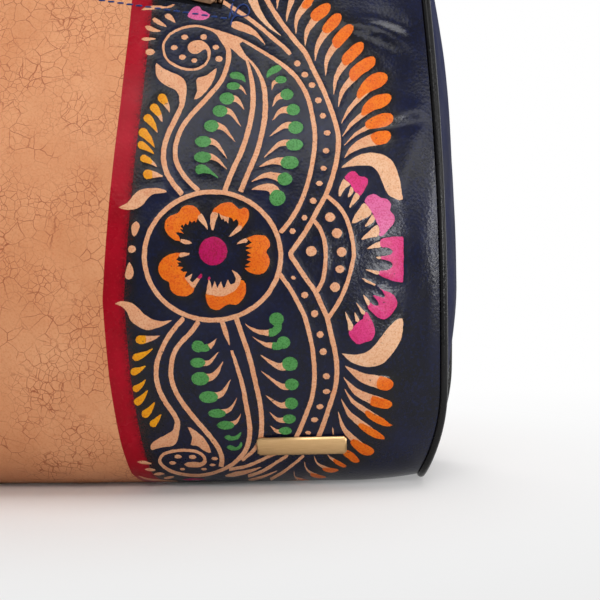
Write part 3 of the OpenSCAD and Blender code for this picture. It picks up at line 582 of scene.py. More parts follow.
def draw_fronds():
    taper("b", "tan", 30, (28, -60), (18, 0), (11, 62))
    taper("b", "tan", 46, (125, -60), (98, 20), (78, 90), (72, 142))
    frond("b", ((165, 40), (190, 0), (225, -35), (262, -40), (245, 0), (205, 55)), (140, 110), (130, 218))
    frond("b", ((222, 104), (250, 56), (300, 26), (340, 24), (350, 50), (322, 96), (260, 136)), (204, 190),
          (188, 292))
    frond("b", ((295, 182), (330, 126), (375, 88), (410, 88), (418, 118), (390, 166), (327, 210)),
          (272, 275), (250, 388))
    frond("b", ((357, 257), (400, 196), (445, 158), (485, 158), (490, 190), (455, 242), (390, 303)),
          (330, 360), (318, 478))
    frond("b", ((418, 364), (460, 310), (510, 270), (545, 262), (557, 290), (535, 336), (445, 412)),
          (390, 470), (368, 598))
    frond("b", ((465, 452), (510, 400), (570, 362), (615, 354), (632, 380), (615, 420), (555, 462),
          (487, 512)), (430, 560), (395, 678))
    frond("b", ((515, 580), (555, 510), (610, 465), (670, 450), (706, 475), (700, 512), (650, 552),
                (580, 582), (525, 620)), (470, 680), (412, 782), width=44)
    frond("b", ((552, 668), (600, 615), (660, 590), (720, 588), (728, 625), (690, 666), (620, 692),
          (545, 727)), (490, 768), (417, 862), width=44)
    frond("b", ((568, 768), (620, 730), (690, 708), (736, 720), (740, 760), (700, 790), (640, 802),
          (578, 807)), (520, 832), (427, 917), width=40)
    frond("b", ((600, 850), (640, 825), (710, 820), (728, 858), (700, 896), (640, 908), (612, 885)),
          (545, 900), (480, 940), (434, 992), width=84)
    blob("b", "cream", (416, 1052), (460, 1013), (520, 975), (590, 958), (660, 965), (715, 990),
         (752, 1040), (776, 1110), (790, 1190), (797, 1254), (760, 1250), (715, 1225), (685, 1175),
         (665, 1120), (640, 1070), (600, 1040), (540, 1038), (470, 1043))
    blob("d", "cream", (420, 710), (460, 716), (520, 718), (575, 700), (620, 665), (660, 615), (710, 550),
         (755, 505), (797, 491), (803, 540), (795, 600), (770, 660), (725, 725), (670, 775), (600, 795),
         (530, 785), (470, 760))
    frond("d", ((655, 858), (700, 864), (736, 884), (742, 910), (715, 940), (665, 940), (635, 915)),
          (560, 868), (490, 825), (438, 788), width=86)
    frond("d", ((610, 978), (660, 990), (715, 1005), (736, 1025), (725, 1050), (680, 1058), (625, 1046),
          (597, 1030)), (530, 965), (475, 915), (428, 858), width=66)
    frond("d", ((573, 1068), (620, 1090), (680, 1120), (715, 1150), (737, 1162), (700, 1169), (640, 1150),
                (590, 1120), (563, 1085)), (510, 1030), (470, 988), (432, 928), width=40)
    frond("d", ((533, 1148), (590, 1170), (650, 1205), (692, 1245), (640, 1246), (570, 1210), (523, 1170)),
          (480, 1105), (445, 1055), (411, 993), width=48)
    frond("d", ((490, 1250), (540, 1270), (600, 1300), (622, 1325), (605, 1350), (550, 1350), (500, 1310),
                (473, 1275)), (435, 1190), (395, 1072), width=50)
    blob("d", "orange", (420, 1325), (460, 1322), (502, 1350), (531, 1390), (500, 1402), (455, 1372),
         (425, 1345))
    frond("d", ((368, 1375), (420, 1400), (453, 1426), (420, 1428), (372, 1400)), (348, 1370), (328, 1345),
          width=24)
    frond("d", ((300, 1430), (360, 1435), (402, 1445), (360, 1463), (308, 1450)), (268, 1405), (243, 1350),
          width=22)
    frond("d", ((225, 1460), (280, 1475), (325, 1490), (270, 1495), (228, 1480)), (200, 1440), (182, 1385),
          width=18)
    frond("d", ((140, 1495), (180, 1500), (215, 1507), (170, 1510)), (128, 1490), (118, 1445), width=16)
    line("d", "tan", 8, (362, 1175), (363, 1200), (366, 1228), start=0.3, end=0.3)


def draw_petals():
    blob("a", "rose", (580, 100), (600, 65), (625, 42), (655, 40), (670, 65), (700, 75), (722, 96),
         (700, 118), (655, 128), (610, 118))
    blob("b", "pink", (437, 1110), (470, 1078), (508, 1078), (530, 1105), (575, 1113), (581, 1150),
         (560, 1190), (533, 1232), (505, 1207), (485, 1180), (470, 1152), (450, 1137))
    blobs("b", "cream",
          ((430, 1122), (452, 1138), (474, 1157), (440, 1182), (405, 1238), (399, 1195), (415, 1150)),
          ((475, 1170), (494, 1190), (477, 1226), (455, 1237), (465, 1200)),
          ((505, 1208), (533, 1234), (492, 1282), (463, 1307), (480, 1260)),
          ((558, 1272), (607, 1335), (560, 1370), (483, 1402), (500, 1350), (530, 1310)),
          ((608, 1345), (628, 1375), (600, 1405), (558, 1424), (585, 1385)),
          ((640, 1410), (652, 1477), (600, 1490), (538, 1504), (580, 1460)),
          ((662, 1513), (662, 1550), (620, 1555), (573, 1563), (610, 1535)))
    blob("b", "rose", (560, 1262), (585, 1226), (625, 1217), (660, 1240), (700, 1248), (728, 1280),
         (722, 1318), (748, 1360), (742, 1402), (710, 1440), (670, 1482), (650, 1472), (655, 1440),
         (640, 1400), (615, 1350), (600, 1320), (575, 1287))
    blob("d", "pink", (662, 0), (720, -18), (790, -20), (804, 0), (804, 250), (792, 262), (750, 260),
         (700, 240), (648, 218), (652, 195), (700, 190), (728, 175), (738, 155), (725, 135), (690, 125),
         (655, 118), (660, 105), (700, 98), (730, 88), (738, 68), (720, 52), (690, 45), (662, 45))
    blob("d", "pink", (628, 276), (670, 310), (720, 330), (752, 355), (766, 400), (746, 445), (715, 480),
         (680, 498), (645, 485), (610, 455), (582, 420), (588, 388), (615, 405), (645, 415), (650, 395),
         (630, 365), (612, 342), (650, 355), (690, 360), (680, 330), (655, 300))
    blob("d", "pink", (465, 572), (490, 546), (515, 520), (530, 505), (550, 500), (560, 455), (576, 450),
         (592, 475), (612, 515), (626, 560), (622, 600), (600, 632), (560, 640), (520, 656), (485, 625),
         (465, 595))
    blobs("d", "cream",
          ((662, 104), (658, 121), (628, 110)),
          ((652, 195), (648, 221), (610, 206), (562, 184), (600, 188)),
          ((543, 238), (580, 252), (632, 277), (626, 287), (570, 262)),
          ((553, 343), (576, 360), (594, 388), (586, 414), (568, 385)),
          ((440, 448), (466, 490), (492, 542), (466, 573), (455, 520)),
          ((500, 452), (520, 480), (530, 505), (511, 519), (502, 490)),
          ((510, 393), (545, 430), (568, 456), (550, 472), (530, 435)))
    blob("c", "magenta", (548, 1500), (600, 1494), (650, 1494), (695, 1500), (640, 1505), (590, 1506))


# Wall panels: the ornament and its borders are cut into the leather's own mesh

NAVY, TAN, RED, PAINTED, RAW_EDGE, FLESH = range(6)
PAINT_RISE, PAINT_SLOPE, PAINT_EDGE = 0.06, 0.4, 0.12
GRID_STEP, GRID_ROOM, INNER_STEP, INNER_ROOM = 3.2, 0.8, 9.0, 3.0
GRID_HALF_W, GRID_ROW, GRID_MARGIN, MERGE_ROOM = 178, 0.87, 1.5, 0.02
# Distances of the rows of points beside the wall's side edges, which bend the most
EDGE_ROWS = (0.7, 1.5, 2.5, 3.7, 5.1, 6.7, 8.6, 10.8, 13.2, 15.8)
EDGE_STEPS, TOP_STEPS, STRIPE_STEPS, STAIN_STEPS = 150, 112, 120, 900
# Half width of the tan middle by height, and the width of the red stripes beside it
STRIPE_X = (
    (0, 44), (7, 39.5), (24, 37.4), (50, 35.3), (84.5, 33.9),
    (126, 37.3), (168, 41.1), (203, 43.3), (272, 46.5))
STRIPE_W = 9.2
RAGGED, RAGGED_SCALE, RAGGED_SEED = 0.2, 0.55, 1
# Place in the picture above which the ornament is mirrored
ORNAMENT_TOP_PX = (212, -3)
# How far the black ink reaches round the painted tips and beside the stripes, and the stripes' stain
TIP_INK, STRIPE_INK, STRIPE_INK_FADE, STAIN_REACH = 4.0, 6.0, 3.5, 2.4
# Each crease: its place in the picture, its length, width, turn in degrees and depth
CREASES = (
    ((385, 32), 15, 4.0, -25, 1.5), ((374, 38), 13, 2.2, -26, -1.0), ((396, 22), 13, 3.0, -22, -0.9),
    ((418, 122), 12, 2.2, 4, -1.1), ((418, 111), 13, 4.0, 4, 0.9), ((412, 160), 20, 6.0, 72, 1.0),
    ((372, 375), 10, 2.0, 10, -0.7), ((420, 320), 20, 3.0, 80, -0.6))
CREASE_PLACES = from_picture([px for px, *_ in CREASES])
CREASE_BOW = 0.12
# Unevenness of the leather: height, scales across and up, and plane of the noise
UNEVEN = ((0.7, 38, 46, 3.1), (0.25, 13, 15, 7.7))
# Lengths over which the creases fade at the side seams, above the base, below the top and round the pocket
SEAM_FADE, BASE_FADE, TOP_FADE, POCKET_FADE = 12, 20, 18, 14
CREASE_START = 26


def spaced(loop, step):
    """A closed outline with its points about a step apart."""
    path = np.concatenate([loop, loop[:1]])
    length = run_lengths(path)[-1]
    count = max(6, int(round(length / step)))
    return points_along(path, np.linspace(0, length, count, endpoint=False))


def grown(loop, by):
    """A closed outline moved outwards."""
    ahead, behind = np.roll(loop, -1, 0), np.roll(loop, 1, 0)
    way = ahead - behind
    way /= np.maximum(np.linalg.norm(way, axis=1, keepdims=True), 1e-9)
    area = np.sum(cross(loop, ahead))
    return loop + np.sign(area) * by * np.stack([way[:, 1], -way[:, 0]], -1)


def inside(points, loop):
    """Which points a closed outline winds round."""
    near = np.flatnonzero(((points >= loop.min(0)) & (points <= loop.max(0))).all(1))
    found = np.zeros(len(points), bool)
    a, b = loop, np.roll(loop, -1, 0)
    for part in np.array_split(near, len(near) // 20000 + 1):
        x, y = points[part, :1], points[part, 1:]
        side = (b[:, 0] - a[:, 0]) * (y - a[:, 1]) - (x - a[:, 0]) * (b[:, 1] - a[:, 1])
        up = (a[:, 1] <= y) & (b[:, 1] > y) & (side > 0)
        down = (b[:, 1] <= y) & (a[:, 1] > y) & (side < 0)
        found[part] = up.sum(1) != down.sum(1)
    return found


def nearest(points, targets):
    """The nearest target to each point: its number, and its distance."""
    tree = KDTree(len(targets))
    for i, (x, y) in enumerate(targets):
        tree.insert((x, y, 0), i)
    tree.balance()
    found = [tree.find((x, y, 0)) for x, y in points]
    return np.array([i for _, i, _ in found]), np.array([d for _, _, d in found])


def distance_to(points, targets):
    return nearest(points, targets)[1]


def ring_edges(loops):
    """Pairs of neighbours round each outline, counted through the points of all."""
    pairs, first = [], 0
    for loop in loops:
        ring = first + np.arange(len(loop))
        pairs.append(np.stack([ring, np.roll(ring, -1)], -1))
        first += len(loop)
    return np.concatenate(pairs)


def open_edges(faces):
    """Pairs of points with a face on one side only, in that face's direction."""
    pairs = np.concatenate([faces[:, [0, 1]], faces[:, [1, 2]], faces[:, [2, 0]]])
    _, first, count = np.unique(np.sort(pairs, axis=1), axis=0, return_index=True, return_counts=True)
    return pairs[first[count == 1]]


def triangulated(points, edges, border, window):
    """Triangles that keep the edges, inside the border and outside the window, and their points."""
    verts, _, faces, *_ = delaunay_2d_cdt([Vector(p) for p in points], edges.tolist(), [], 0, MERGE_ROOM)
    flat, faces = np.array([v[:] for v in verts]), np.array(faces)
    middles = flat[faces].mean(1)
    kept = inside(middles, border)
    if window is not None:
        kept &= ~inside(middles, window)
    used = np.unique(faces[kept])
    return flat[used], np.searchsorted(used, faces[kept])


def grid_points(step):
    """Points of a triangle grid over the flat wall."""
    rows = np.arange(0, FLAT_H + step, step * GRID_ROW)
    columns = np.arange(-GRID_HALF_W, GRID_HALF_W, step)
    return np.array([(x + step * 0.5 * (i % 2), y) for i, y in enumerate(rows) for x in columns])


def wall_border():
    lengths = np.linspace(0, FLAT_H, EDGE_STEPS)
    right = np.stack([wall_edge(to_v(lengths)), lengths], -1)
    across = np.linspace(1, -1, TOP_STEPS)[1:-1]
    top = np.stack([across * right[-1, 0], np.full(len(across), FLAT_H)], -1)
    base = np.stack([-across * right[0, 0], np.zeros(len(across))], -1)
    return np.concatenate([right, top, right[::-1] * (-1, 1), base])


def stripe_lines(offset):
    """Lines on both sides of the tan middle, from the base to the top."""
    lengths = np.linspace(-2, FLAT_H + 2, STRIPE_STEPS)
    heights, widths = np.array(STRIPE_X, float).T
    x = np.interp(section(to_v(lengths), **MIDDLE)[:, 1], heights, widths) + offset
    return [np.stack([side * x, lengths], -1) for side in (1, -1)]


def hand_cut(loop):
    """An outline with the small unevenness of handwork."""
    moves = [noise.noise_vector((RAGGED_SCALE * x, RAGGED_SCALE * y, 4.2))[:2] for x, y in loop]
    return loop + RAGGED * np.array(moves)


def painted_shapes():
    """Ornament of both halves of a wall, laid flat, as (colour, outline)."""
    noise.seed_set(RAGGED_SEED)
    flat = [(colour, hand_cut(spaced(from_picture(outline), step))) for colour, outline, step in ornament]
    mirror = from_picture([ORNAMENT_TOP_PX])[0, 1]
    above = [(colour, loop * (1, -1) + (0, 2 * mirror)) for colour, loop in flat
             if loop[:, 1].max() > 2 * mirror - FLAT_H]
    half = above + flat
    return half + [(colour, loop * (-1, 1)) for colour, loop in half]


def creases(flat):
    """How far the leather is pushed in or out by handling."""
    x, y = flat.T
    out = np.array([
        sum(height * noise.noise((a / across, b / up, plane)) for height, across, up, plane in UNEVEN)
        for a, b in flat])
    for at, (_, length, width, turn, depth) in zip(CREASE_PLACES, CREASES):
        for side in (1, -1):
            c, s = np.cos(np.radians(turn)), np.sin(np.radians(turn)) * side
            dx, dy = x - side * at[0], y - at[1]
            along = c * dx + s * dy
            across = c * dy - s * dx + CREASE_BOW * along ** 2 / length
            out += depth * np.exp(-(along / length) ** 2 - (across / width) ** 2)
    return out


def on_leather(flat, lift):
    """Points over flat places of the creased wall, which lies smooth at its edges and at the pocket."""
    x, y = flat.T
    v = to_v(y)
    from_pocket_seam = (np.abs(to_pocket(wall(x, v))) - WINDOW_HALF - STITCH_ROOM).max(1)
    fade = smooth((wall_edge(v) - np.abs(x)) / SEAM_FADE) * smooth(from_pocket_seam / POCKET_FADE)
    fade *= smooth((y - CREASE_START) / BASE_FADE) * smooth((FLAT_H - y) / TOP_FADE)
    return wall(x, v) + (fade * creases(flat) + lift)[:, None] * wall_normal(x, v)


def outer_sheet(cuts, border, window):
    """Flat points and faces of the wall's outer side, with every cut along edges."""
    grid = grid_points(GRID_STEP)
    grid = grid[wall_edge(to_v(grid[:, 1])) - np.abs(grid[:, 0]) > EDGE_ROWS[-1] + GRID_MARGIN]
    rows = np.linspace(0, FLAT_H, EDGE_STEPS)[1:-1]
    half = wall_edge(to_v(rows))
    beside = [np.stack([side * (half - d), rows], -1) for d in EDGE_ROWS for side in (1, -1)]
    grid = np.concatenate([grid] + beside)
    lines = np.concatenate(cuts)
    grid = grid[distance_to(grid, lines) > GRID_ROOM]
    return triangulated(np.concatenate([lines, grid]), ring_edges(cuts), border, window)


def inner_sheet(edge_points, edges, border, window):
    """Flat points and faces of the wall's inner side, coarser, with the outer side's edge points."""
    grid = grid_points(INNER_STEP)
    grid = grid[distance_to(grid, edge_points) > INNER_ROOM]
    return triangulated(np.concatenate([edge_points, grid]), edges, border, window)


def set_layers(mesh, flat, paint, ink, stain, faces):
    """Stores the outer side's paint by face, its ink and stain by point, and the flat map of all faces."""
    colour = np.ones((len(faces), 3, 4), np.float32)
    colour[:len(paint), :, :3] = paint[:, None]
    mesh.attributes.new("paint", "FLOAT_COLOR", "CORNER").data.foreach_set("color", colour.ravel())
    for layer, values in (("ink", ink), ("stain", stain)):
        every = np.zeros(len(flat), np.float32)
        every[:len(values)] = values
        mesh.attributes.new(layer, "FLOAT", "POINT").data.foreach_set("value", every)
    large = np.stack([(flat[:, 0] + 180) / 360, 0.01 + 0.88 * flat[:, 1] / FLAT_H], -1)
    small = np.stack([large[:, 0], 0.92 + 0.08 * large[:, 1]], -1)
    corners = np.concatenate([large[faces[:len(paint)]], small[faces[len(paint):]]])
    mesh.uv_layers.new(name="OFBake").data.foreach_set("uv", corners.astype(np.float32).ravel())


def make_panel(name, window, turn, shapes, materials):
    """A painted wall panel as one closed sheet of leather."""
    border, inner_lines, outer_lines = wall_border(), stripe_lines(0), stripe_lines(STRIPE_W)
    areas = [(TAN, np.concatenate([inner_lines[0], inner_lines[1][::-1]]))]
    areas += [(RED, np.concatenate([a, b[::-1]])) for a, b in zip(inner_lines, outer_lines)]
    cuts = [border] + [loop for _, loop in areas + shapes]
    cuts += [grown(loop, PAINT_SLOPE) for _, loop in shapes]
    if window is not None:
        cuts.append(window)
    flat, faces = outer_sheet(cuts, border, window)

    middles = flat[faces].mean(1)
    slots, paint = np.full(len(faces), NAVY), np.zeros((len(faces), 3))
    for slot, loop in areas:
        slots[inside(middles, loop)] = slot
    raised = np.zeros(len(flat), bool)
    for colour, loop in shapes:
        covered = inside(middles, loop)
        slots[covered] = PAINTED
        paint[covered] = srgb(*COLOURS[colour])
        raised |= inside(flat, grown(loop, PAINT_EDGE))
    tips = np.concatenate([loop for colour, loop in shapes if colour in ("orange", "yellow")])
    fine = np.linspace(0, FLAT_H, STAIN_STEPS)
    stripes = [np.stack([np.interp(fine, side[:, 1], side[:, 0]), fine], -1) for side in outer_lines]
    from_stripe = distance_to(flat, np.concatenate(stripes))
    ink = np.maximum(1.1 - distance_to(flat, tips) / TIP_INK, (STRIPE_INK - from_stripe) / STRIPE_INK_FADE)
    stain = 1 - from_stripe / STAIN_REACH

    edges = open_edges(faces)
    ring, ring_pairs = np.unique(edges, return_inverse=True)
    inner_flat, inner_faces = inner_sheet(flat[ring], ring_pairs.reshape(-1, 2), border, window)
    twins = len(flat) + nearest(flat[ring], inner_flat)[0][ring_pairs.reshape(-1, 2)]
    rim = np.concatenate([
        np.stack([edges[:, 0], twins[:, 0], twins[:, 1]], -1),
        np.stack([edges[:, 0], twins[:, 1], edges[:, 1]], -1)])
    points = np.concatenate([on_leather(flat, PAINT_RISE * raised), on_leather(inner_flat, -LEATHER_T)])
    every = np.concatenate([faces, inner_faces[:, ::-1] + len(flat), rim])
    piece = new_piece(name, turned(points) if turn else points, every.tolist(), materials)
    slots = np.concatenate([slots, np.full(len(inner_faces), FLESH), np.full(len(rim), RAW_EDGE)])
    piece.data.polygons.foreach_set("material_index", slots.astype(np.int32))
    set_layers(piece.data, np.concatenate([flat, inner_flat]), paint, ink.clip(0, 1), stain.clip(0, 1), every)
    piece.data.set_sharp_from_angle(angle=np.radians(55))
    return piece


# Meshes

def srgb(r, g, b):
    c = np.array([r, g, b]) / 255
    return tuple(np.where(c <= 0.04045, c / 12.92, ((c + 0.055) / 1.055) ** 2.4))


def turned(points):
    """Half a turn about the bag's upright middle line."""
    return np.asarray(points) * (-1, -1, 1)


def new_piece(name, points, faces, materials):
    mesh = bpy.data.meshes.new(name)
    mesh.from_pydata(np.asarray(points) * MM, [], faces)
    for m in materials:
        mesh.materials.append(m)
    mesh.shade_smooth()
    piece = bpy.data.objects.new(name, mesh)
    bpy.context.collection.objects.link(piece)
    return piece


def closed_piece(name, points, faces, material, turn=False):
    """A piece of a closed mesh, with its faces turned outwards, on this side of the bag or the other."""
    piece = new_piece(name, turned(points) if turn else points, faces, [material])
    b = bmesh.new()
    b.from_mesh(piece.data)
    bmesh.ops.recalc_face_normals(b, faces=b.faces)
    b.to_mesh(piece.data)
    b.free()
    return piece


def dress(piece, body, slot, *nodes):
    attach(piece, body)
    if nodes:
        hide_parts(*nodes)


def shell(outer, inner):
    """Points and faces of a closed sheet between two grids of points."""
    rows, cols = outer.shape[:2]
    n = rows * cols
    index = np.arange(n).reshape(rows, cols)
    quads = np.stack([index[:-1, :-1], index[:-1, 1:], index[1:, 1:], index[1:, :-1]], -1).reshape(-1, 4)
    ring = np.concatenate([index[0], index[1:, -1], index[-1, -2::-1], index[-2:0:-1, 0]])
    rim = np.stack([np.roll(ring, -1), ring, ring + n, np.roll(ring, -1) + n], -1)
    points = np.concatenate([outer.reshape(-1, 3), inner.reshape(-1, 3)])
    return points, np.concatenate([quads, quads[:, ::-1] + n, rim]).tolist()


def tube(path, half_w, half_t, side, sides, power=2.0):
    """Points and faces of a closed tube of oval section along a path."""
    n = len(path)
    way = unit(np.gradient(path, axis=0))
    u = unit(side - np.sum(side * way, -1, keepdims=True) * way)
    w = np.cross(way, u)
    a = 2 * np.pi * np.arange(sides) / sides
    half_w, half_t, power = (np.broadcast_to(value, n)[:, None] for value in (half_w, half_t, power))
    c = half_w * np.sign(np.cos(a)) * np.abs(np.cos(a)) ** (2 / power)
    s = half_t * np.sign(np.sin(a)) * np.abs(np.sin(a)) ** (2 / power)
    rings = path[:, None] + c[..., None] * u[:, None] + s[..., None] * w[:, None]
    index = np.arange(n * sides).reshape(n, sides)
    ahead = np.roll(index, -1, 1)
    quads = np.stack([index[:-1], ahead[:-1], ahead[1:], index[1:]], -1).reshape(-1, 4)
    return rings.reshape(-1, 3), quads.tolist() + [index[0][::-1].tolist(), index[-1].tolist()]


def together(parts):
    """Points and faces of several meshes as one."""
    points, faces = [], []
    for part_points, part_faces in parts:
        faces += [[i + len(points) for i in face] for face in part_faces]
        points += part_points.tolist()
    return points, faces


# Materials

LEATHER_SHINE = 0.26
CRACK_BEND = 0.0025
# Numbers of a mix node's two inputs and of its output
MIX_SOCKETS = {"VECTOR": (4, 5, 1), "RGBA": (6, 7, 2)}


def new_material(name, roughness, specular=0.5, metallic=0.0, sheen=0.0):
    m = bpy.data.materials.new(name)
    m.use_nodes = True
    inputs = shader_of(m).inputs
    inputs["Roughness"].default_value = roughness
    inputs["Specular IOR Level"].default_value = specular
    inputs["Metallic"].default_value = metallic
    inputs["Sheen Weight"].default_value = sheen
    return m


def shader_of(m):
    return m.node_tree.nodes["Principled BSDF"]


def add(m, kind, **values):
    """A new node, with settings and inputs by name."""
    n = m.node_tree.nodes.new("ShaderNode" + kind)
    for key, value in values.items():
        if hasattr(n, key):
            setattr(n, key, value)
        else:
            n.inputs[key.replace("_", " ")].default_value = value
    return n


def join(m, out, into):
    m.node_tree.links.new(out, into)


def places(m, scale=(1, 1, 1)):
    at = add(m, "TexCoord").outputs["Object"]
    if scale == (1, 1, 1):
        return at
    mapping = add(m, "Mapping", Scale=scale)
    join(m, at, mapping.inputs["Vector"])
    return mapping.outputs["Vector"]


def cloud(m, scale, detail=3.0, roughness=0.5, stretch=(1, 1, 1), output="Fac"):
    n = add(m, "TexNoise", Scale=scale, Detail=detail, Roughness=roughness)
    join(m, places(m, stretch), n.inputs["Vector"])
    return n.outputs[output]


def cells(m, at, scale, feature="F1"):
    n = add(m, "TexVoronoi", feature=feature, Scale=scale)
    join(m, at, n.inputs["Vector"])
    return n.outputs["Distance"]


def ramp(m, value, *stops):
    """Colours or greys by value: each stop is a place and a colour of 0 to 255, or a number."""
    n = add(m, "ValToRGB")
    bar = n.color_ramp
    while len(bar.elements) < len(stops):
        bar.elements.new(0.5)
    for element, (at, colour) in zip(bar.elements, stops):
        element.position = at
        element.color = (*srgb(*colour), 1) if isinstance(colour, tuple) else (colour, colour, colour, 1)
    join(m, value, n.inputs["Fac"])
    return n.outputs["Color"]


def blend(m, share, a, b, kind="RGBA"):
    """Two colours or two places, and how much of the second."""
    n = add(m, "Mix", data_type=kind)
    first, second, out = MIX_SOCKETS[kind]
    for value, socket in ((share, n.inputs[0]), (a, n.inputs[first]), (b, n.inputs[second])):
        if isinstance(value, bpy.types.NodeSocket):
            join(m, value, socket)
        elif isinstance(value, tuple):
            socket.default_value = (*srgb(*value), 1)
        else:
            socket.default_value = value
    return n.outputs[out]


def reckon(m, operation, a, b):
    n = add(m, "Math", operation=operation)
    join(m, a, n.inputs[0])
    join(m, b, n.inputs[1])
    return n.outputs[0]


def product(m, a, b):
    return reckon(m, "MULTIPLY", a, b)


def attribute(m, name, output="Fac"):
    return add(m, "Attribute", attribute_name=name).outputs[output]


def paint_with(m, colour):
    join(m, colour, shader_of(m).inputs["Base Color"])


def roughen(m, value, low, high):
    join(m, ramp(m, value, (0.3, low), (0.7, high)), shader_of(m).inputs["Roughness"])


def emboss(m, *layers):
    """Bumps one over another: each is a height, its strength and its depth in metres."""
    normal = None
    for height, strength, distance in layers:
        n = add(m, "Bump", Strength=strength, Distance=distance)
        join(m, height, n.inputs["Height"])
        if normal:
            join(m, normal, n.inputs["Normal"])
        normal = n.outputs["Normal"]
    join(m, normal, shader_of(m).inputs["Normal"])


def grain(m, strength):
    pores, fibres = cells(m, places(m), 760), cloud(m, 2600, 2.0)
    emboss(m, (pores, strength, 0.0004), (fibres, strength * 0.6, 0.0002))


def navy_leather():
    m = new_material("navy_leather", 0.36, LEATHER_SHINE)
    colour = ramp(m, cloud(m, 34, 4.0, 0.6), (0.32, (9, 9, 17)), (0.68, (15, 19, 46)))
    colour = blend(m, ramp(m, cloud(m, 700, 2.0), (0.5, 0.0), (0.75, 0.4)), colour, (17, 30, 74))
    inky = product(m, attribute(m, "ink"), ramp(m, cloud(m, 300, 3.0), (0.3, 0.55), (0.6, 1.0)))
    colour = blend(m, inky, colour, (20, 17, 17))
    stained = product(m, attribute(m, "stain"), ramp(m, cloud(m, 1300, 2.0), (0.42, 0.0), (0.6, 0.9)))
    paint_with(m, blend(m, stained, colour, (72, 18, 20)))
    roughen(m, cloud(m, 60, 3.0), 0.19, 0.28)
    grain(m, 0.12)
    return m


def tan_leather():
    """Bare leather whose finish has cracked in two sizes of cells."""
    m = new_material("tan_leather", 0.5, LEATHER_SHINE)
    colour = ramp(m, cloud(m, 26, 4.0, 0.6), (0.3, (206, 138, 94)), (0.7, (222, 160, 116)))
    colour = blend(m, ramp(m, cloud(m, 1100, 2.0), (0.5, 0.0), (0.75, 0.45)), colour, (196, 112, 68))
    bent = blend(m, CRACK_BEND, places(m), cloud(m, 150, 4.0, output="Color"), "VECTOR")
    for scale, low, high in ((150, 0.006, 0.03), (290, 0.008, 0.045)):
        lines = ramp(m, cells(m, bent, scale, "DISTANCE_TO_EDGE"), (low, 0.85), (high, 0.0))
        there = ramp(m, cloud(m, 30000 / scale ** 1.2, 2.0), (0.45, 0.1), (0.62, 1.0))
        colour = blend(m, product(m, lines, there), colour, (150, 74, 44))
    paint_with(m, colour)
    roughen(m, cloud(m, 70, 3.0), 0.4, 0.54)
    grain(m, 0.14)
    return m


def red_leather():
    m = new_material("red_leather", 0.42, 0.16)
    colour = ramp(m, cloud(m, 45, 4.0, 0.6), (0.3, (140, 0, 20)), (0.7, (168, 4, 32)))
    # Paler red flecks: partly the leather's grain, partly a painted sheen
    colour = blend(m, ramp(m, cloud(m, 900, 2.0), (0.58, 0.0), (0.8, 0.35)), colour, (186, 48, 54))
    stained = product(m, attribute(m, "stain"), ramp(m, cloud(m, 1300, 2.0), (0.4, 0.2), (0.62, 1.0)))
    paint_with(m, blend(m, stained, colour, (44, 8, 14)))
    roughen(m, cloud(m, 60, 3.0), 0.24, 0.34)
    grain(m, 0.1)
    return m


def painted_leather():
    """The ornament's colours, with darker flecks of the same colour and a few gaps that show the ground."""
    m = new_material("painted_leather", 0.48, LEATHER_SHINE)
    colour = attribute(m, "paint", "Color")
    deep = add(m, "Gamma", Gamma=1.7)
    join(m, colour, deep.inputs["Color"])
    colour = blend(m, ramp(m, cloud(m, 130, 3.0), (0.35, 0.3), (0.65, 0.0)), colour, deep.outputs[0])
    colour = blend(m, ramp(m, cloud(m, 1500, 2.0), (0.47, 0.0), (0.62, 0.7)), colour, deep.outputs[0])
    paint_with(m, blend(m, ramp(m, cloud(m, 900, 3.0), (0.67, 0.0), (0.73, 0.8)), colour, (52, 40, 40)))
    roughen(m, cloud(m, 90, 3.0), 0.3, 0.42)
    grain(m, 0.14)
    return m


def plain_leather(name, low, high, rough, shine=LEATHER_SHINE):
    m = new_material(name, rough, shine)
    paint_with(m, ramp(m, cloud(m, 40, 4.0, 0.6), (0.3, low), (0.7, high)))
    roughen(m, cloud(m, 80, 3.0), rough - 0.06, rough + 0.08)
    grain(m, 0.2)
    return m


def cloth(name, low, high, threads, ways=("X", "Z")):
    """Plain weave: two crossed waves."""
    m = new_material(name, 0.85, specular=0.2, sheen=0.2)
    waves = []
    for way in ways:
        n = add(m, "TexWave", bands_direction=way, Scale=threads, Distortion=0.6)
        join(m, places(m), n.inputs["Vector"])
        waves.append(n.outputs["Fac"])
    weave = product(m, *waves)
    paint_with(m, ramp(m, weave, (0.0, low), (0.8, high)))
    emboss(m, (weave, 0.4, 0.0002))
    return m


def metal(name, low, high, rough, streaks=(1, 1, 1)):
    m = new_material(name, rough, metallic=1.0)
    paint_with(m, ramp(m, cloud(m, 180, 4.0, 0.6, streaks), (0.3, low), (0.7, high)))
    roughen(m, cloud(m, 420, 3.0, 0.5, streaks), rough - 0.08, rough + 0.1)
    emboss(m, (cloud(m, 1500, 2.0, 0.5, streaks), 0.08, 0.0001))
    return m


# Gussets, piping and handles

SWELL, SWELL_START_Z, SWELL_RISE, SWELL_END = 4.8, 30, 54, 83
RUMPLE, RUMPLE_START_Z, RUMPLE_END_Z, RUMPLE_FADE = 0.5, 20, 250, 30
HANDLE_X, HANDLE_DROP, HANDLE_R, HANDLE_TOP_Y, NECK_H = 84.0, 215, 5.5, -11, 36
END_HALF_W, END_HALF_T, END_LENGTH, END_Z = 12, 1.5, 34, 262
ARCH_POWER, ARCH_SETTLE = 2.3, 22


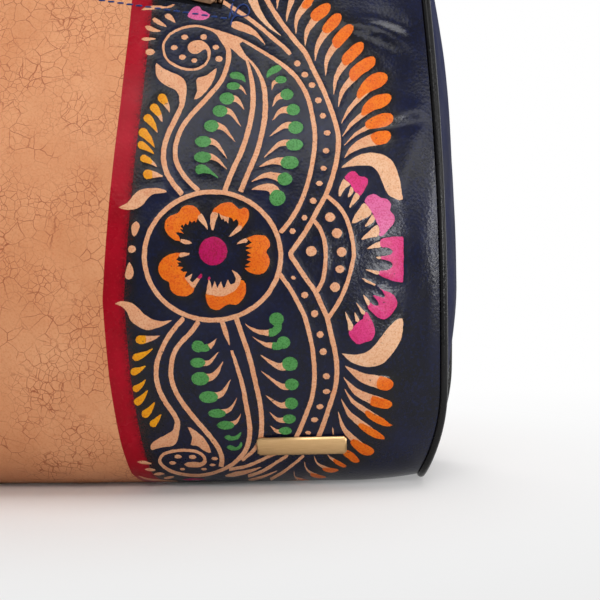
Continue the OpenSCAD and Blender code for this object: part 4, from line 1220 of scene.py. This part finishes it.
def make_gusset(name, turn, material):
    v = np.concatenate([np.linspace(1, 2, 40), np.linspace(2, 3, 70)[1:], np.linspace(3, 3.7, 10)[1:]])
    t = np.linspace(-1, 1, 45)
    e = section(v, **SEAM)
    way = unit(section(np.minimum(v + 0.005, TOP_V), **SEAM) - section(v - 0.005, **SEAM))
    edge = e + SEAM_GAP * np.stack([-way[:, 1], way[:, 0]], -1)
    edge[0] = e[0] + (0, SEAM_GAP)
    z = edge[:, 1]
    swell = SWELL * smooth((z - SWELL_START_Z) / SWELL_RISE) * smooth((SHOULDER_Z - z) / SWELL_END)
    fade = smooth((z - RUMPLE_START_Z) / RUMPLE_FADE) * smooth((RUMPLE_END_Z - z) / RUMPLE_FADE)
    rumple = np.array([[noise.noise((a / 16, b / 42, 1.3)) for a in t * 50] for b in z])
    x = seam_x(e[:, 1])[:, None] + swell[:, None] * (1 - t ** 2)
    x = x + RUMPLE * fade[:, None] * rumple * (1 - t ** 4)
    outer = np.stack([x, t * edge[:, :1], np.broadcast_to(z[:, None], x.shape)], -1)
    return closed_piece(name, *shell(outer, outer - (LEATHER_T, 0, 0)), material, turn)


def make_piping(name, turn, material):
    v = np.concatenate([
        np.linspace(4, 3, 10), np.linspace(3, 2, 60)[1:],
        np.linspace(2, 1, 46)[1:], np.linspace(1, 0, 6)[1:]])
    e = section(v, **SEAM)
    front = np.stack([seam_x(e[:, 1]), -e[:, 0], e[:, 1]], -1)
    path = np.concatenate([front, front[::-1] * (1, -1, 1)])
    return closed_piece(name, *tube(path, PIPING_R, PIPING_R, np.array([1.0, 0, 0]), 16), material, turn)


def handle_end():
    """Middle line of a handle's flat end, from its tip up to where the handle leaves the wall."""
    v = v_at(np.linspace(END_Z + END_LENGTH * POCKET_Z[1], END_Z, 24))
    x = np.full(len(v), HANDLE_X)
    return wall(x, v) + (END_HALF_T + GAP) * wall_normal(x, v)


def end_half_width(height):
    """Half width of a handle's flat end at a height over its round tip."""
    below = 1 - np.minimum(1, height / END_HALF_W)
    return END_HALF_W * mix(0.45, 1, np.sqrt(np.maximum(0, 1 - below ** 2)))


def make_handle(name, turn, material):
    end = handle_end()
    _, start_y, start_z = end[-1]
    a = np.radians(np.linspace(0, 180, 121))[1:-1]
    rise = np.sin(a) ** (2 / ARCH_POWER) * (BODY_H + HANDLE_DROP - start_z)
    arch = np.stack([
        HANDLE_X * np.sign(np.cos(a)) * np.abs(np.cos(a)) ** (2 / ARCH_POWER),
        mix(start_y, HANDLE_TOP_Y, 1 - np.exp(-rise / ARCH_SETTLE)), start_z + rise], -1)
    path = np.concatenate([end, arch, end[::-1] * (-1, 1, 1)])
    z = path[:, 2]
    roll = smooth((z - start_z) / NECK_H)
    half_w = mix(end_half_width(z - end[0, 2]), HANDLE_R, roll)
    side = np.cross([0.0, 1, 0], unit(np.gradient(path, axis=0)))
    shape = tube(path, half_w, mix(END_HALF_T, HANDLE_R, roll), side, 28, mix(5.0, 2.0, roll))
    return closed_piece(name, *shape, material, turn)


# Zips and plate

def softened(node, name, width, material):
    """A copy of a machined node with its edges rounded."""
    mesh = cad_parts[node].data.copy()
    mesh.materials.clear()
    mesh.materials.append(material)
    piece = bpy.data.objects.new(name, mesh)
    bpy.context.collection.objects.link(piece)
    b = bmesh.new()
    b.from_mesh(mesh)
    bmesh.ops.remove_doubles(b, verts=b.verts, dist=1e-6)
    bmesh.ops.dissolve_limit(b, angle_limit=0.02, verts=b.verts, edges=b.edges)
    sharp = [e for e in b.edges if len(e.link_faces) == 2 and e.calc_face_angle(0) > 0.5]
    bmesh.ops.bevel(b, geom=sharp, offset=width * MM, segments=2, affect="EDGES", clamp_overlap=True)
    bmesh.ops.triangulate(b, faces=b.faces)
    b.to_mesh(mesh)
    b.free()
    mesh.shade_smooth()
    return piece


def make_tape(name, node, at, axes, material):
    """A woven zip tape in the place of its node, a little thicker along its edges."""
    corners = np.array([v.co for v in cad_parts[node].data.vertices]) / MM
    local = (corners - at) @ axes.T
    low, high = local.min(0), local.max(0)
    x = np.linspace(low[0], high[0], 150)
    t = np.linspace(0, 1, 15)
    half = 0.5 * (high[2] - low[2]) * mix(0.72, 1.0, smooth(np.abs(2 * t - 1) * 3 - 1.8))
    sides = []
    for sign in (1, -1):
        grid = np.empty((len(x), len(t), 3))
        grid[..., 0] = x[:, None]
        grid[..., 1] = mix(low[1], high[1], t)
        grid[..., 2] = (low[2] + high[2]) / 2 + sign * half
        sides.append(grid @ axes + at)
    piece = closed_piece(name, *shell(*sides), material)
    piece.data.set_sharp_from_angle(angle=np.radians(50))
    return piece


# Sewing

STITCH_RINGS, STITCH_SIDES = 7, 7
THREAD_R = 0.32
SEAM_INSET, TIP_INSET = 2.6, 3
TOP_SEAM_X, TOP_SEAM_V = 146, 3.62
# The pocket's loose thread end: places on sheet a, and heights over the leather
LOOSE_THREAD = (
    (852, 40, 0.0), (858, 75, 0.3), (874, 98, 0.32), (886, 72, 0.5), (905, 42, 0.65), (935, 31, 0.7),
    (960, 48, 0.65), (968, 80, 0.6), (950, 101, 0.5), (920, 105, 0.4), (890, 100, 0.36), (868, 113, 0.34),
    (856, 135, 0.32), (852, 160, 0.3))


def stitches(path, length, pitch, radius, lift, lean=0.0):
    """Stitches along flat places of the wall, each a short rounded bar with its ends sunk in the leather."""
    along = np.linspace(-1, 1, STITCH_RINGS)
    bow = np.cos(along * np.pi / 2).clip(0)
    count = int(run_lengths(path)[-1] / pitch)
    middles = pitch * (np.arange(count) + 0.5)[:, None]
    flat = points_along(path, (middles + along * length / 2).ravel())
    flat[:, 1] += np.tile(lean * along, count)
    normals = wall_normal(flat[:, 0], to_v(flat[:, 1])).reshape(count, -1, 3)
    lifts = np.tile(lift + radius * (1.5 * bow ** 0.5 - 1), count)
    bars = on_leather(flat, lifts).reshape(count, -1, 3)
    half_w = radius * mix(0.6, 1, bow)
    return [tube(bar, half_w, radius, normal, STITCH_SIDES) for bar, normal in zip(bars, normals)]


def loose_thread():
    """The end of the pocket's thread, which lies in a small loop on the leather."""
    thread = np.array(LOOSE_THREAD)
    flat = from_picture(rounded(place("a", thread[:, :2]), closed=False))
    rise = np.interp(np.linspace(0, 1, len(flat)), np.linspace(0, 1, len(thread)), thread[:, 2])
    normals = wall_normal(flat[:, 0], to_v(flat[:, 1]))
    return tube(on_leather(flat, rise), THREAD_R, THREAD_R, normals, STITCH_SIDES)


def handle_seam(sign):
    """Flat places of the line sewn round the end of a handle."""
    end = handle_end()
    tip_z, start_z = end[0, 2], end[-1, 2] - 1.5
    down = np.linspace(start_z, tip_z + TIP_INSET, 20)
    z = np.concatenate([down, np.full(7, tip_z + SEAM_INSET), down[::-1]])
    share = np.concatenate([np.full(20, -1), np.linspace(-0.9, 0.9, 7), np.full(20, 1)])
    half = end_half_width(z - tip_z) - SEAM_INSET
    return np.stack([sign * (HANDLE_X + share * half), to_length(v_at(z))], -1)


# The studio

ROOM_LIGHT, ROOM_TONE = 0.2, 0.36
# Each lamp: its name, place, aim, size and watts
LAMPS = (
    ("front", (0.74, -1.33, 0.22), (0.15, -0.06, 0.1), (0.34, 0.32), 7.2),
    ("upper", (0.03, -1.24, 1.07), (0.1, -0.05, 0.15), (0.8, 0.6), 5.0),
    ("top", (0.55, 0.0, 1.8), (0.15, 0.0, 0.0), (1.0, 1.2), 21),
    ("corner", (1.08, -0.97, 0.66), (0.165, -0.05, 0.14), (0.9, 0.36), 3.3),
    ("behind", (-0.35, 1.45, 0.75), (0.0, 0.05, 0.14), (0.8, 0.6), 14),
    ("side", (1.39, -0.51, 0.2), (0.17, -0.05, 0.1), (0.09, 0.6), 3.6))
FLOOR_CORNERS = ((-6000, -4000, 0), (6000, -4000, 0), (6000, 6000, 0), (-6000, 6000, 0))
SCREEN_R, SCREEN_H, SCREEN_STEPS = 4000, 5000, 44


def seen_directly(m):
    """1 for the rays of the camera, of mirrors and of glass, and 0 for the rest."""
    path = add(m, "LightPath")
    share = path.outputs["Is Camera Ray"]
    for kind in ("Is Glossy Ray", "Is Transmission Ray"):
        share = reckon(m, "MAXIMUM", share, path.outputs[kind])
    return share


def show_plain(m, share, tone=None):
    """Turns a share of the material to an even white, or to the tone given."""
    plain, both = add(m, "Emission"), add(m, "MixShader")
    if tone:
        join(m, tone, plain.inputs["Color"])
    join(m, share, both.inputs[0])
    join(m, shader_of(m).outputs[0], both.inputs[1])
    join(m, plain.outputs[0], both.inputs[2])
    join(m, both.outputs[0], m.node_tree.nodes["Material Output"].inputs["Surface"])


def make_floor():
    """A pale floor that fades away from the bag to a plain tone: white behind it, the room's in front."""
    m = new_material("floor", 0.8, specular=0.1)
    seen = seen_directly(m)
    paint_with(m, blend(m, seen, (176, 172, 169), (230, 226, 224)))
    at = add(m, "SeparateXYZ")
    join(m, places(m), at.inputs[0])
    depth = add(m, "MapRange", From_Min=-0.8, From_Max=0.3)
    join(m, at.outputs["Y"], depth.inputs["Value"])
    tone = ramp(m, depth.outputs[0], (0.0, ROOM_TONE), (0.41, 0.83), (1.0, 1.0))
    away = add(m, "VectorMath", operation="LENGTH")
    join(m, places(m, (0.95, 1, 1)), away.inputs[0])
    fade = add(m, "MapRange", interpolation_type="SMOOTHSTEP", From_Min=0.07, From_Max=0.28)
    join(m, away.outputs["Value"], fade.inputs["Value"])
    show_plain(m, product(m, fade.outputs[0], seen), tone)
    new_piece("floor", FLOOR_CORNERS, [(0, 1, 2, 3)], [m])


def make_backdrop():
    """A white screen that bends round behind the bag."""
    m = new_material("white_screen", 0.9, specular=0.0)
    shader_of(m).inputs["Base Color"].default_value = (*srgb(120, 120, 120), 1)
    show_plain(m, seen_directly(m))
    turn = np.radians(np.linspace(-110, 110, SCREEN_STEPS + 1))
    foot = SCREEN_R * np.stack([np.sin(turn), np.cos(turn), 0 * turn], -1)
    points = np.concatenate([foot, foot + (0, 0, SCREEN_H)])
    faces = [(i, i + 1, i + SCREEN_STEPS + 2, i + SCREEN_STEPS + 1) for i in range(SCREEN_STEPS)]
    new_piece("backdrop", points, faces, [m])


def make_lamp(name, at, aim, size, watts):
    data = bpy.data.lights.new(name, "AREA")
    data.shape = "RECTANGLE"
    data.size, data.size_y = size
    data.energy = watts
    light = bpy.data.objects.new(name, data)
    light.location = at
    light.rotation_euler = (Vector(aim) - Vector(at)).to_track_quat("-Z", "Y").to_euler()
    bpy.context.collection.objects.link(light)


def make_lights():
    world = bpy.data.worlds.new("studio")
    bpy.context.scene.world = world
    world.use_nodes = True
    background = world.node_tree.nodes["Background"]
    background.inputs["Color"].default_value = (1, 1, 1, 1)
    strength = add(world, "MapRange", To_Min=ROOM_LIGHT, To_Max=ROOM_TONE)
    join(world, seen_directly(world), strength.inputs["Value"])
    join(world, strength.outputs[0], background.inputs["Strength"])
    for values in LAMPS:
        make_lamp(*values)


# The pieces, each on its body

def make_walls():
    for draw_part in (
            draw_spirals, draw_stems, draw_commas, draw_flower, draw_band, draw_fronds, draw_petals):
        draw_part()
    shapes = painted_shapes()
    raw_edge = plain_leather("raw_leather_edge", (92, 56, 38), (126, 80, 54), 0.7)
    flesh = plain_leather("leather_back", (112, 88, 68), (134, 108, 84), 0.8)
    looks = [navy_leather(), tan_leather(), red_leather(), painted_leather(), raw_edge, flesh]
    front = make_panel("front_wall", pocket_loop(*WINDOW_HALF), False, shapes, looks)
    dress(front, "bag", "dyed_leather", "front_panel")
    back = make_panel("back_wall", None, True, shapes, looks)
    dress(back, "bag", "dyed_leather", "back_panel")


def make_sides_and_handles():
    black = plain_leather("black_leather", (6, 6, 7), (12, 11, 13), 0.28)
    # The side strips' navy is lighter and bluer than the walls': partly the leather's own tone, partly
    # painted light from the lit side
    blue = plain_leather("gusset_leather_with_painted_light", (18, 21, 46), (29, 34, 68), 0.72, 0.1)
    for side, turn in (("right", False), ("left", True)):
        dress(make_gusset("side_gusset_" + side, turn, blue), "bag", "dyed_leather", "gusset_" + side)
        dress(make_piping("side_piping_" + side, turn, black), "bag", "black_leather", "piping_" + side)
    for side, turn in (("front", False), ("back", True)):
        dress(make_handle("rolled_handle_" + side, turn, black), "bag", "black_leather", "handle_" + side)


def make_zips_and_plate():
    brass = metal("aged_brass", (118, 88, 66), (158, 122, 96), 0.36)
    gold = metal("brushed_gold", (208, 170, 118), (226, 190, 140), 0.38, (1, 1, 30))
    lining = cloth("lining_weave", (74, 60, 48), (104, 88, 70), 300)
    board = plain_leather("grey_board", (84, 84, 82), (100, 100, 97), 0.85)
    looks = {"lining": lining, "pocket_pouch": lining, "base_board": board}
    for node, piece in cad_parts.items():
        if node in looks or "teeth" in node:
            piece.data.materials.clear()
            piece.data.materials.append(looks.get(node, brass))
    for node, name, body, slot, look, width in (
            ("name_plate", "blank_plate", "bag", "gold_plate", gold, 0.22),
            ("top_zip_stops", "top_stops", "bag", "zip_metal", brass, 0.2),
            ("pocket_zip_stops", "pocket_stops", "bag", "zip_metal", brass, 0.2),
            ("top_zip_slider", "top_runner", "top_slider", "zip_metal", brass, 0.14),
            ("pocket_zip_slider", "pocket_runner", "pocket_slider", "zip_metal", brass, 0.14),
            ("top_zip_pull", "top_puller", "top_pull", "zip_metal", brass, 0.2),
            ("pocket_zip_pull", "pocket_puller", "pocket_pull", "zip_metal", brass, 0.2)):
        dress(softened(node, name, width, look), body, slot, node)
    pocket_axes = np.stack([POCKET_X, POCKET_Y, POCKET_Z])
    for zip_name, sides, ways, at, axes in (
            ("top", ("front", "back"), ("X", "Y"), np.zeros(3), np.eye(3)),
            ("pocket", ("upper", "lower"), ("X", "Z"), POCKET_AT, pocket_axes)):
        weave = cloth(zip_name + "_tape_weave", (10, 10, 18), (26, 27, 38), 420, ways)
        for side in sides:
            node = zip_name + "_zip_tape_" + side
            tape = make_tape(zip_name + "_tape_" + side, node, at, axes, weave)
            dress(tape, "bag", "zip_tape", node)


def make_sewing():
    blue = cloth("blue_thread", (20, 40, 92), (40, 76, 150), 900)
    around = pocket_loop(*(WINDOW_HALF + STITCH_ROOM))
    around = np.concatenate([around, around[:1]])
    parts = stitches(around, 3.6, 4.2, 0.42, -0.14, lean=0.2) + [loose_thread()]
    dress(closed_piece("pocket_stitching", *together(parts), blue), "bag", "zip_tape")
    dark = cloth("navy_thread", (14, 16, 30), (34, 37, 58), 900)
    top_x = np.linspace(-TOP_SEAM_X, TOP_SEAM_X, 120)
    top_edge = np.stack([top_x, np.full(len(top_x), to_length(TOP_SEAM_V))], -1)
    parts = stitches(top_edge, 3.3, 4.2, 0.4, 0.12)
    for sign in (1, -1):
        parts += stitches(handle_seam(sign), 2.9, 3.6, 0.4, 3.3)
    for name, turn in (("front_stitching", False), ("back_stitching", True)):
        dress(closed_piece(name, *together(parts), dark, turn), "bag", "black_leather")


bpy.context.scene.view_settings.view_transform = "Standard"
make_camera()
make_floor()
make_backdrop()
make_lights()
make_walls()
make_sides_and_handles()
make_zips_and_plate()
make_sewing()
